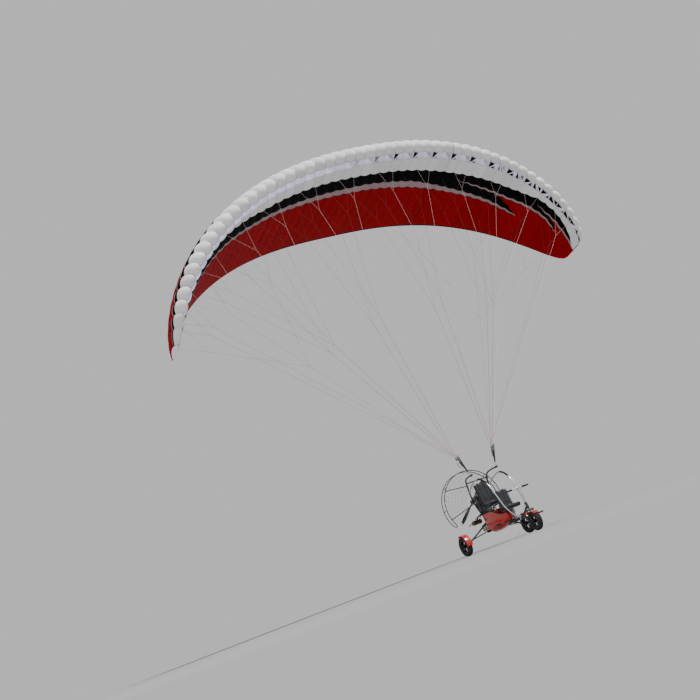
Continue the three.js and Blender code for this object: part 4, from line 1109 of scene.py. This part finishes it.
# Seat frames: the rear one is two bent steel tubes with cross bars between them, the front one an alloy
# pan on a post that stands on the keel.
alloy_material = surface(
    "cast_aluminium", "#8d9194", 0.42, 1.0, drift=(18.0, 6.0), tint=("#9a9ea1", "#6c6e6e"),
    gloss=(0.32, 0.55), grain=(320.0, 4.0), lift=(0.3, 0.0006))
seat_rail = [(0.178, 0.494, 0.762), (0.16, 0.3, 0.78), (0.15, 0.06, 0.784), (0.148, -0.09, 0.776),
             (0.13, -0.135, 0.7), (0.07, -0.14, 0.5), (0.038, -0.14, 0.38), (0.038, -0.14, 0.33)]
seat_frame = bmesh.new()
for side in (1, -1):
    sweep(seat_frame, craft_path(seat_rail, side, 44), 0.011, sides=20)
for y, z, x in ((0.03, 0.784, 0.152), (-0.08, 0.778, 0.148)):
    rod(seat_frame, (-x, y, z), (x, y, z), 0.01)
finish_piece("rear_seat_tubes", seat_frame, frame_material, ["rear_seat_frame"])
front_z = 0.59
pan = bmesh.new()
block(pan, (-0.15, -0.65, front_z - 0.0083), (0.15, -0.38, front_z - seat_gap), 0.002)
block(pan, (-0.022, -0.54, keel_top + seat_gap), (0.022, -0.49, front_z - 0.004), 0.003)
block(pan, (-0.028, -0.55, keel_top + seat_gap), (0.028, -0.48, keel_top + 0.008), 0.002)
finish_piece("front_seat_pan", pan, alloy_material, ["front_seat_frame"])

# Seats: foam pads in black woven polyester, sewn with crosswise channels and a piping cord round the
# rim. Each pad swells in a cloth simulation from a block a little smaller than the finished pad.
seat_material, tree, shader = start_material(
    "woven_polyester", "#17181b", 0.85, values={"Sheen Weight": 0.15, "Sheen Roughness": 0.5})
threads = {"Scale": 130.0, "Distortion": 0.8}
warp, weft = [texture(tree, "Wave", threads, bands_direction=axis) for axis in "XY"]
fade = texture(tree, "Noise", {"Scale": 8.0, "Detail": 5.0})
dress(tree, shader, drift=fade, tint=("#111214", "#26272c"),
      grain=calc(tree, "MULTIPLY", warp, weft), lift=(0.5, 0.0008))
swell_start = 0.007
swell_cap = 0.012
voxel = 0.006
channel_depth = 0.006


def make_pad(name, low, high, turn, node, channels):
    """A swollen pad between two corners, with sewn channels across it at the given places along Y or Z."""
    low, high = Vector(low), Vector(high)
    inset = Vector((1, 1, 1)) * swell_start
    raw = bmesh.new()
    block(raw, low + inset, high - inset, 0.016, Matrix(), 4)
    mesh_data = bpy.data.meshes.new(name)
    raw.to_mesh(mesh_data)
    raw.free()
    pad = add_object(name, mesh_data)
    remesh = pad.modifiers.new("remesh", "REMESH")
    remesh.mode = "VOXEL"
    remesh.voxel_size = voxel
    bake_modifiers(pad)
    start = [v.co.copy() for v in pad.data.vertices]
    cloth = pad.modifiers.new("swell", "CLOTH")
    cloth.settings.use_pressure = True
    cloth.settings.uniform_pressure_force = 4
    cloth.settings.effector_weights.gravity = 0
    for frame_number in range(1, 21):
        bpy.context.scene.frame_set(frame_number)
    bake_modifiers(pad)
    bpy.context.scene.frame_set(1)
    for vert, place_before in zip(pad.data.vertices, start):
        moved = vert.co - place_before
        if moved.length > swell_cap:
            vert.co = place_before + moved.normalized() * swell_cap
    along_z = high.z - low.z > high.y - low.y
    for vert in pad.data.vertices:
        at = vert.co.z if along_z else vert.co.y
        face_side = (low.y - vert.co.y) if along_z else (vert.co.z - high.z)
        if face_side > -0.03:
            dip = sum(math.exp(-((at - channel) / 0.006) ** 2) for channel in channels) * channel_depth
            vert.co += Vector((0, dip, 0)) if along_z else Vector((0, 0, -dip))
        vert.co.x = min(max(vert.co.x, low.x), high.x)
        vert.co.y = min(max(vert.co.y, low.y - 0.004), high.y)
        vert.co.z = min(max(vert.co.z, low.z), high.z + 0.004)
    pad.data.transform(craft_turn @ turn)
    pad.data.materials.append(seat_material)
    pad.data.shade_smooth()
    soften = pad.modifiers.new("soften", "SUBSURF")
    soften.levels = soften.render_levels = 1
    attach(pad, "airframe")
    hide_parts(node)


def bake_modifiers(piece):
    """Takes the shape that the modifiers give as the mesh's own."""
    bpy.context.view_layer.update()
    shaped = piece.evaluated_get(bpy.context.evaluated_depsgraph_get())
    new_mesh = bpy.data.meshes.new_from_object(shaped)
    piece.modifiers.clear()
    piece.data = new_mesh


def pad_piping(name, low, high, turn, level):
    """A cord sewn round the rim of a pad, a rounded rectangle at one level of it."""
    low, high = [edge + swell_start for edge in low], [edge - swell_start for edge in high]
    piping = bmesh.new()
    along_z = high[2] - low[2] > high[1] - low[1]
    span = (low[2], high[2]) if along_z else (low[1], high[1])
    corner = 0.024
    loop = []
    for sign_a, sign_b, start in ((1, 1, 0), (-1, 1, 90), (-1, -1, 180), (1, -1, 270)):
        centre = (sign_a * (high[0] - corner), (span[1] - corner) if sign_b > 0 else (span[0] + corner))
        for i in range(7):
            angle = math.radians(start + 15 * i)
            a, b = centre[0] + corner * math.cos(angle), centre[1] + corner * math.sin(angle)
            loop.append(Vector((a, level, b)) if along_z else Vector((a, b, level)))
    loop.append(loop[0].copy())
    normal = y_axis if along_z else z_axis
    sweep(piping, loop, 0.0035, sides=8, across=normal)
    bmesh.ops.transform(piping, matrix=craft_turn @ turn, verts=piping.verts)
    finish_piece(name, piping, webbing_material)


back_lean = 0.2
seat_sizes = {
    "rear": (-0.11, 0.27, 0.7984, 0.19, 0.5),
    "front": (-0.68, -0.35, front_z, 0.165, 0.4),
}
for seat_name, (front_y, rear_y, base_z, half, back_height) in seat_sizes.items():
    depth = rear_y - front_y
    low, high = (-half, front_y, base_z), (half, rear_y, base_z + 0.07)
    make_pad(f"{seat_name}_seat_cushion", low, high, Matrix(), f"{seat_name}_seat",
             [front_y + depth * share for share in (0.25, 0.5, 0.75)])
    pad_piping(f"{seat_name}_cushion_piping", low, high, Matrix(), base_z + 0.053)
    lean = Matrix.Translation((0, rear_y - 0.022, base_z + 0.03)) @ Matrix.Rotation(-back_lean, 4, "X")
    low, high = (-half, -0.03, 0.0), (half, 0.03, back_height)
    make_pad(f"{seat_name}_seat_back", low, high, lean, f"{seat_name}_seat",
             [back_height * share for share in (0.3, 0.5, 0.7, 0.87)])
    pad_piping(f"{seat_name}_back_piping", low, high, lean, -0.013)

    # lap and shoulder belts of black webbing, joined by a steel buckle
    belts = bmesh.new()
    ahead = -0.037
    for side in (1, -1):
        shoulder = [lean @ Vector((side * x, y, z)) for x, y, z in (
            (0.07, 0.034, back_height * 0.7), (0.07, 0.02, back_height), (0.07, -0.02, back_height),
            (0.07, ahead, back_height * 0.93), (0.066, ahead, back_height * 0.6),
            (0.05, ahead - 0.006, 0.12))]
        lap_z = base_z + 0.071
        lap = [Vector((side * x, y, z)) for x, y, z in (
            (half + 0.004, rear_y - 0.03, base_z + 0.02), (half - 0.004, rear_y - 0.06, lap_z + 0.006),
            (half * 0.6, rear_y - 0.1, lap_z + 0.008), (0.02, rear_y - 0.13, lap_z + 0.008))]
        for path, across in ((shoulder, x_axis), (lap, Vector((0, 1, 0.2)))):
            places = smooth_path([craft_turn @ p for p in path], 26)
            sweep(belts, places, 0.021, sides=10, across=across, flat=0.07)
    finish_piece(f"{seat_name}_belts", belts, webbing_material)
    buckle = bmesh.new()
    block(buckle, (-0.026, rear_y - 0.158, base_z + 0.073), (0.026, rear_y - 0.104, base_z + 0.087), 0.004)
    finish_piece(f"{seat_name}_buckle", buckle, steel_material)

# Footrests of the rear seat: a steel bar across the keel with an alloy plate at each end, and ribbed
# rubber on the plates.
bar_z = keel_top + seat_gap + 0.012
plate_x = 0.3725
bar_y = -0.435
footrest = bmesh.new()
rod(footrest, (-0.42, bar_y, bar_z), (0.42, bar_y, bar_z), 0.012, sides=28)
for x in (-0.42, 0.42):
    rod(footrest, (x * 0.995, bar_y, bar_z), (x * 1.008, bar_y, bar_z), 0.0135)
block(footrest, (-0.034, -0.452, bar_z - 0.011), (0.034, -0.418, bar_z + 0.016), 0.003)
for side in (1, -1):
    block(footrest, (side * plate_x - 0.0525, -0.49, bar_z + 0.006),
          (side * plate_x + 0.0525, -0.385, bar_z + 0.014), 0.0015)
finish_piece("footrest_bar", footrest, frame_material, ["rear_footrest_bar"])
treads = bmesh.new()
for side in (1, -1):
    for i in range(6):
        x = side * plate_x - 0.042 + i * 0.0168
        block(treads, (x - 0.004, -0.483, bar_z + 0.0142), (x + 0.004, -0.392, bar_z + 0.0182), 0.001)
finish_piece("footrest_treads", treads, pad_material)

# Engine mount: a milled alloy plate bolted to two cross bars between the uprights, on rubber bushes.
mount_y = 0.512
mount = bmesh.new()
block(mount, (-0.14, mount_y - 0.01, 0.7), (0.14, mount_y, 1.13), 0.002)
block(mount, (-0.15, 0.48, 0.742), (0.15, mount_y - 0.008, 0.768), 0.003)
block(mount, (-0.225, 0.468, 1.072), (0.225, mount_y - 0.008, 1.098), 0.003)
for x in (-0.12, 0.12):
    for z in (0.725, 0.92, 1.11):
        rod(mount, (x, mount_y - 0.013, z), (x, mount_y + 0.008, z), 0.009, sides=6)
finish_piece("engine_plate", mount, alloy_material, ["engine_mount"])
bushes = bmesh.new()
for x in (-0.1, 0.1):
    for z in (0.755, 1.085):
        revolve(bushes, [(0, 0), (0, 0.019), (0.006, 0.0165), (0.012, 0.019), (0.012, 0)],
                on_craft(x, mount_y - 0.022, z), y_axis, z_axis, 24)
finish_piece("engine_bushes", bushes, pad_material)

# Engine: a single-cylinder two-stroke. The sand-cast crankcase sits on the plate, and the finned cylinder
# with its head hangs below it. The casting is bare aluminium, dulled by heat and oil.
block_front, block_rear = mount_y + seat_gap, 0.69
crank_z, thrust_z = 0.885, 1.03
crankcase = bmesh.new()
block(crankcase, (-0.1, block_front, 0.7903), (0.1, block_rear, 0.96), 0.012, segments=3)
rod(crankcase, (0, block_front, 0.96), (0, block_rear, 0.96), 0.09, sides=48)
for z in (0.82, 0.85, 0.88, 0.91):
    block(crankcase, (-0.104, block_front + 0.02, z), (0.104, block_rear - 0.02, z + 0.005), 0.001)
for i in range(10):
    angle = 2 * math.pi * i / 10
    x, z = 0.078 * math.cos(angle), crank_z + 0.05 + 0.078 * math.sin(angle)
    rod(crankcase, (x, block_rear - 0.002, z), (x, block_rear + 0.0025, z), 0.005, sides=6)
finish_piece("crankcase", crankcase, alloy_material, ["engine_block"])

cylinder_y, fin_radius, core_radius = 0.61, 0.072, 0.05
cylinder_low, cylinder_high = 0.615, 0.7897
fins = bmesh.new()
profile = [(0, 0), (0, 0.03), (0.006, 0.034), (0.008, fin_radius - 0.006)]
fin_count = 11
pitch = (cylinder_high - cylinder_low - 0.012) / fin_count
for i in range(fin_count):
    at = 0.008 + i * pitch
    profile += [(at, fin_radius - 0.001), (at + 0.001, fin_radius), (at + pitch * 0.34, fin_radius),
                (at + pitch * 0.42, core_radius + 0.002), (at + pitch * 0.92, core_radius + 0.002)]
profile += [(cylinder_high - cylinder_low, core_radius), (cylinder_high - cylinder_low, 0)]
revolve(fins, profile, on_craft(0, cylinder_y, cylinder_low), z_axis, x_axis, 56)
for i in range(4):
    angle = math.radians(45 + 90 * i)
    x, y = 0.042 * math.cos(angle), cylinder_y + 0.042 * math.sin(angle)
    rod(fins, (x, y, cylinder_low - 0.007), (x, y, cylinder_low + 0.01), 0.0055, sides=6)
finish_piece("finned_cylinder", fins, alloy_material, ["engine_cylinder"])

plug = bmesh.new()
cap = [(0, 0), (0, 0.0105), (0.012, 0.0105), (0.016, 0.0085), (0.04, 0.0085), (0.048, 0.006), (0.048, 0)]
revolve(plug, cap, on_craft(0, cylinder_y, cylinder_low), -z_axis, x_axis, 20)
lead = craft_path([(0, cylinder_y, 0.575), (0.01, cylinder_y - 0.03, 0.56), (0.06, cylinder_y - 0.06, 0.6),
                   (0.088, cylinder_y - 0.075, 0.7), (0.09, cylinder_y - 0.072, 0.79)], 1, 30)
sweep(plug, lead, 0.0038, sides=10)
finish_piece("plug_and_lead", plug, pad_material)

# Starter: a pressed steel cowl on the crankshaft's left end, vented by slots, with a pull handle.
plastic_material = surface("moulded_nylon_black", "#18191b", 0.5, grain=(700.0, 2.0), lift=(0.3, 0.0004))
starter_y, starter_z = 0.6, 0.9
starter = bmesh.new()
cowl = [(0, 0), (0, 0.078), (0.014, 0.078), (0.024, 0.066), (0.03, 0.03), (0.034, 0.028), (0.034, 0)]
revolve(starter, cowl, on_craft(-0.1, starter_y, starter_z), -x_axis, z_axis, 40)
for i in range(10):
    turn = Matrix.Rotation(math.radians(36 * i), 4, "X")
    slot_turn = craft_turn @ Matrix.Translation((-0.1265, starter_y, starter_z)) @ turn
    block(starter, (-0.003, -0.004, 0.036), (0.003, 0.004, 0.058), 0.001, slot_turn)
rod(starter, (-0.117, starter_y, 0.972), (-0.117, starter_y, 1.0), 0.006)
block(starter, (-0.127, 0.575, 0.995), (-0.107, 0.625, 1.01), 0.005)
finish_piece("pull_starter", starter, plastic_material)

# Air box and carburettor: a black moulded box with ribs and a foam-covered mouth, clamped to the
# carburettor's throat by a rubber sleeve.
air_box = bmesh.new()
block(air_box, (0.132, 0.535, 0.81), (0.232, 0.665, 0.97), 0.014, segments=4)
for z in (0.84, 0.87, 0.9, 0.93):
    block(air_box, (0.13, 0.533, z), (0.234, 0.667, z + 0.006), 0.002)
rod(air_box, (0.185, 0.6, 0.97), (0.185, 0.6, 1.0), 0.03, 0.026, sides=32)
finish_piece("air_box_shell", air_box, plastic_material, ["air_box"])
carburettor = bmesh.new()
rod(carburettor, (0.1003, 0.6, 0.89), (0.14, 0.6, 0.89), 0.022, sides=32)
block(carburettor, (0.106, 0.578, 0.852), (0.126, 0.622, 0.925), 0.004)
rod(carburettor, (0.116, 0.6, 0.835), (0.116, 0.6, 0.855), 0.018)
finish_piece("carburettor", carburettor, alloy_material)

# Exhaust: a welded steel can with rolled seams, a header from the cylinder held by springs, and a tail
# pipe. The heat has stained the bare metal straw and brown.
exhaust_material, tree, shader = start_material("heat_stained_steel", "#78716a", 0.4, 1.0)
heat = texture(tree, "Noise", {"Scale": 11.0, "Detail": 5.0})
stains = add_node(tree, "ValToRGB", {0: heat})
for position, hex_code in ((0.3, "#57504a"), (0.5, "#8a7f70"), (0.68, "#6b5a48")):
    stains.color_ramp.elements.new(position).color = colour(hex_code)
tree.links.new(stains.outputs[0], shader.inputs["Base Color"])
can_y, can_z = 0.7, 0.59
exhaust = bmesh.new()
can = [(0, 0), (0, 0.038), (0.006, 0.046), (0.012, 0.048), (0.03, 0.048), (0.032, 0.0495), (0.036, 0.0495),
       (0.038, 0.048), (0.182, 0.048), (0.184, 0.0495), (0.188, 0.0495), (0.19, 0.048), (0.208, 0.048),
       (0.214, 0.046), (0.22, 0.038), (0.22, 0)]
revolve(exhaust, can, on_craft(-0.33, can_y, can_z), x_axis, z_axis, 48)
header = [(-0.066, 0.613, 0.699), (-0.11, 0.618, 0.7), (-0.165, 0.64, 0.69), (-0.2, 0.69, 0.64),
          (-0.205, 0.7, 0.6)]
sweep(exhaust, craft_path(header, 1, 30), 0.016, sides=24)
tail = [(-0.32, can_y, can_z), (-0.36, 0.705, can_z), (-0.38, 0.74, 0.575), (-0.382, 0.79, 0.57)]
sweep(exhaust, craft_path(tail, 1, 20), 0.01, sides=20)
rod(exhaust, (-0.07, 0.6135, 0.699), (-0.078, 0.6145, 0.6995), 0.022)
finish_piece("exhaust_can", exhaust, exhaust_material, ["exhaust"])
straps = bmesh.new()
for x in (-0.27, -0.16):
    revolve(straps, [(-0.008, 0.0485), (-0.008, 0.0505), (0.008, 0.0505), (0.008, 0.0485)],
            on_craft(x, can_y, can_z), x_axis, z_axis, 40, closed=True)
    hanger = [(x, 0.66, 0.62), (x, 0.6, 0.66), (x * 0.8, 0.53, 0.7), (x * 0.5, 0.508, 0.73)]
    sweep(straps, craft_path(hanger, 1, 18), 0.006, sides=10)
finish_piece("exhaust_straps", straps, frame_material)

# Reduction drive: a belt in a cast housing, hard anodised dark, from the crankshaft up to the propeller
# shaft, which turns in a long ribbed boss.
dark_material = surface("anodised_aluminium_dark", "#2b2d2f", 0.4, 1.0,
                        grain=(500.0, 3.0), lift=(0.25, 0.0004))


def plate_outline(mesh, y, upper_radius, lower_radius, steps=20):
    """A face with two round ends, between the thrust line and the crankshaft."""
    verts = []
    for centre_z, radius, start in ((thrust_z, upper_radius, 0), (crank_z, lower_radius, math.pi)):
        for i in range(steps + 1):
            angle = start + math.pi * i / steps
            x, z = radius * math.cos(angle), centre_z + radius * math.sin(angle)
            verts.append(mesh.verts.new(on_craft(x, y, z)))
    return mesh.faces.new(verts)


drive = bmesh.new()
face = plate_outline(drive, block_rear + seat_gap, 0.062, 0.048)
made = bmesh.ops.extrude_face_region(drive, geom=[face])["geom"]
bmesh.ops.translate(drive, vec=(0, 0.062, 0), verts=[g for g in made if isinstance(g, bmesh.types.BMVert)])
rear_face = [g for g in made if isinstance(g, bmesh.types.BMFace)]
bmesh.ops.inset_region(drive, faces=rear_face, thickness=0.008, depth=-0.004)
boss = [(0, 0), (0, 0.036), (0.012, 0.034), (0.02, 0.03), (0.14, 0.03), (0.148, 0.034), (0.16, 0.034),
        (0.16, 0)]
revolve(drive, boss, on_craft(0, 0.745, thrust_z), y_axis, z_axis, 40)
for i in range(6):
    turn = Matrix.Rotation(math.radians(60 * i), 4, "Y")
    rib_turn = craft_turn @ Matrix.Translation((0, 0, thrust_z)) @ turn
    block(drive, (-0.003, 0.752, 0.028), (0.003, 0.86, 0.04), 0.001, rib_turn)
finish_piece("drive_housing", drive, dark_material, ["reduction_drive"])
shaft = bmesh.new()
rod(shaft, (0, 0.9, thrust_z), (0, 1.012, thrust_z), 0.0118, sides=32)
for centre_z, radius in ((thrust_z, 0.05), (crank_z, 0.038)):
    for i in range(6):
        angle = math.radians(60 * i + 30)
        x, z = radius * math.cos(angle), centre_z + radius * math.sin(angle)
        rod(shaft, (x, 0.748, z), (x, 0.7545, z), 0.0045, sides=6)
finish_piece("shaft_and_bolts", shaft, steel_material)

# Fuel tank: rotation-moulded natural polyethylene, milky and slightly see-through, strapped to the keel,
# with a black screw cap and a fuel line up to the carburettor.
tank_material, tree, shader = start_material(
    "polyethylene_natural", "#d3cfbf", 0.45, values={"Subsurface Weight": 0.35, "Subsurface Scale": 0.02})
place = add_node(tree, "TexCoord").outputs["Object"]
height = add_node(tree, "SeparateXYZ", {0: place}).outputs["Z"]
dress(tree, shader, drift=ramp(tree, height, 0.43, 0.436), tint=("#c2a98e", "#d8d5c8"))
tank = bmesh.new()
block(tank, (-0.13, 0.535, keel_top + seat_gap), (0.13, 0.75, 0.5), 0.024, segments=5)
finish_piece("tank_shell", tank, tank_material, ["fuel_tank"])
fittings = bmesh.new()
revolve(fittings, [(0, 0), (0, 0.03), (0.018, 0.03), (0.022, 0.027), (0.022, 0)], on_craft(-0.06, 0.66, 0.5),
        z_axis, x_axis, 28)
for y in (0.585, 0.7):
    block(fittings, (-0.1325, y - 0.012, keel_top + 0.002), (0.1325, y + 0.012, 0.5025), 0.002)
sweep(fittings, craft_path([(0.07, 0.56, 0.495), (0.09, 0.55, 0.53), (0.115, 0.56, 0.62), (0.12, 0.575, 0.74),
                            (0.116, 0.585, 0.84)], 1, 34), 0.0035, sides=10)
finish_piece("tank_fittings", fittings, plastic_material)

# Propeller: two blades moulded in carbon fibre under clear lacquer, turned about the thrust line and
# clamped between the hub flange and a plate by six bolts. The tips are painted white.
prop_centre = on_craft(0, 0.952, thrust_z)
prop_radius = 0.61
prop_rest = math.radians(220)
blade_root = 0.03
blade_steps = 28
white_from = 0.55
carbon_material, tree, shader = start_material(
    "lacquered_carbon_fibre", "#141519", 0.35, values={"Coat Weight": 0.8, "Coat Roughness": 0.05})
place = add_node(tree, "TexCoord").outputs["Object"]
twill = add_node(tree, "TexChecker", {
    "Vector": place, "Scale": 250.0, 1: colour("#101115"), 2: colour("#24262c")})
centred = add_node(tree, "Mapping", {"Location": -prop_centre, "Vector": place})
reach = add_node(tree, "VectorMath", {0: centred.outputs[0]}, operation="LENGTH").outputs["Value"]
painted = calc(tree, "GREATER_THAN", reach, white_from)
tree.links.new(blend(tree, painted, twill.outputs[0], colour("#d9d9d6")), shader.inputs["Base Color"])
propeller = bmesh.new()
blade_section = [(-0.5, 0.0), (-0.46, 0.17), (-0.36, 0.36), (-0.2, 0.5), (0.0, 0.48), (0.2, 0.34),
                 (0.38, 0.14), (0.5, 0.0), (0.38, -0.1), (0.2, -0.2), (0.0, -0.28), (-0.2, -0.34),
                 (-0.36, -0.28), (-0.46, -0.15)]
for half_turn in (0, math.pi):
    ring = None
    spread = Matrix.Translation(prop_centre) @ Matrix.Rotation(-(prop_rest + half_turn), 4, "Y")
    for i in range(blade_steps + 1):
        share = i / blade_steps
        out = blade_root + (prop_radius - blade_root) * share
        chord = 0.036 + 0.068 * math.sin(math.pi * (0.02 + 0.8 * share)) - 0.034 * share**6
        if share > 0.9:
            chord *= math.sqrt(max(1 - ((share - 0.9) / 0.105) ** 2, 0.05))
        depth = 0.024 - 0.019 * share
        twist = math.radians(48 - 34 * share)
        places = []
        for across, thick in blade_section:
            a, t = across * chord, thick * depth
            places.append(spread @ Vector((out, a * math.sin(twist) + t * math.cos(twist),
                                           a * math.cos(twist) - t * math.sin(twist))))
        if ring is None:
            verts = [propeller.verts.new(p) for p in places]
            ring = [propeller.edges.new(pair) for pair in zip(verts, verts[1:] + verts[:1])]
            continue
        ring, verts = extrude_ring(propeller, ring)
        for vert, p in zip(verts, places):
            vert.co = p
    bmesh.ops.contextual_create(propeller, geom=ring)
bored_boss = [(-0.024, 0.0125), (-0.024, 0.045), (-0.021, 0.048), (0.021, 0.048), (0.024, 0.045),
              (0.024, 0.0125)]
revolve(propeller, bored_boss, prop_centre, y_axis, z_axis, 48, closed=True)
finish_piece("propeller_blades", propeller, carbon_material, ["propeller"], body="propeller")
hub = bmesh.new()
revolve(hub, [(-0.006, 0.0125), (-0.006, 0.052), (0.004, 0.052), (0.006, 0.05), (0.006, 0.0125)],
        prop_centre + Vector((0, 0.0303, 0)), y_axis, z_axis, 48, closed=True)
for i in range(6):
    angle = math.radians(60 * i)
    bolt = prop_centre + Vector((0.034 * math.cos(angle), 0.0363, 0.034 * math.sin(angle)))
    cylinder(hub, bolt, bolt + Vector((0, 0.006, 0)), 0.0065, sides=6)
finish_piece("hub_plate", hub, alloy_material, ["prop_hub_plate"], body="propeller")

# Propeller guard: two large arcs of thin black tube joined by cross rungs, held off the uprights by
# four struts. A net of black cord on the front arc keeps hands and lines out of the propeller.
hoop_radius, hoop_tube, hoop_front, hoop_rear = 0.675, 0.009, 0.9, 1.06
low_end = math.radians(-28)


def hoop_place(angle, y, radius=hoop_radius):
    return on_craft(radius * math.cos(angle), y, thrust_z + radius * math.sin(angle))


arc_angles = [low_end + (math.pi - 2 * low_end) * i / 96 for i in range(97)]
front_arc = [hoop_place(angle, hoop_front) for angle in arc_angles]
rear_arc = [hoop_place(angle, hoop_rear) for angle in arc_angles]
front_hoop = bmesh.new()
sweep(front_hoop, front_arc, hoop_tube, sides=18, across=y_axis)
for degrees in (20, 72, 108, 160):
    angle = math.radians(degrees)
    sleeve = [hoop_place(angle + math.radians(d), hoop_front) for d in (-2.2, -1.1, 0, 1.1, 2.2)]
    sweep(front_hoop, sleeve, 0.0112, sides=18, across=y_axis)
finish_piece("guard_front_arc", front_hoop, frame_material, ["prop_hoop_front"])
rear_hoop = bmesh.new()
sweep(rear_hoop, rear_arc, hoop_tube, sides=18, across=y_axis)
half_gap = (hoop_rear - hoop_front) / 2
for angle, direction in ((low_end, -1), (math.pi - low_end, 1)):
    bend = []
    for i in range(17):
        turn = math.pi * i / 16
        swing = direction * (half_gap / hoop_radius) * math.sin(turn)
        bend.append(hoop_place(angle + swing, hoop_front + half_gap * (1 - math.cos(turn))))
    sweep(rear_hoop, bend, hoop_tube, sides=18)
for degrees in (0, 42, 90, 138, 180):
    angle = math.radians(degrees)
    cylinder(rear_hoop, hoop_place(angle, hoop_front + 0.006), hoop_place(angle, hoop_rear), 0.007,
             sides=18)
finish_piece("guard_rear_arc", rear_hoop, frame_material, ["prop_hoop_rear"])
for level, start, degrees in (("upper", (0.256, 0.448, 1.35), 36), ("lower", (0.226, 0.482, 0.96), -18)):
    for side, side_name in both_sides:
        end = hoop_place(math.radians(degrees), hoop_front)
        end.x *= side
        begin = on_craft(side * start[0], start[1], start[2])
        strut = bmesh.new()
        along = (end - begin).normalized()
        cylinder(strut, begin, end - along * 0.008, 0.009)
        cylinder(strut, end - along * 0.035, end - along * 0.006, 0.0115)
        finish_piece(f"strut_{level}_{side_name}", strut, frame_material,
                     [f"guard_strut_{level}_{side_name}"])

net = bmesh.new()
net_cord = 0.0013
net_y = hoop_front - 0.004
net_angles = [low_end + (math.pi - 2 * low_end) * i / 26 for i in range(27)]
for angle in net_angles:
    inner = 0.16 if abs(math.degrees(angle) - 90) < 60 else 0.2
    cylinder(net, hoop_place(angle, net_y, inner), hoop_place(angle, net_y), net_cord, sides=5)
for radius in (0.2, 0.28, 0.36, 0.44, 0.52, 0.6):
    for a, b in zip(net_angles, net_angles[1:]):
        cylinder(net, hoop_place(a, net_y, radius), hoop_place(b, net_y, radius), net_cord, sides=5)
finish_piece("guard_net", net, pad_material)
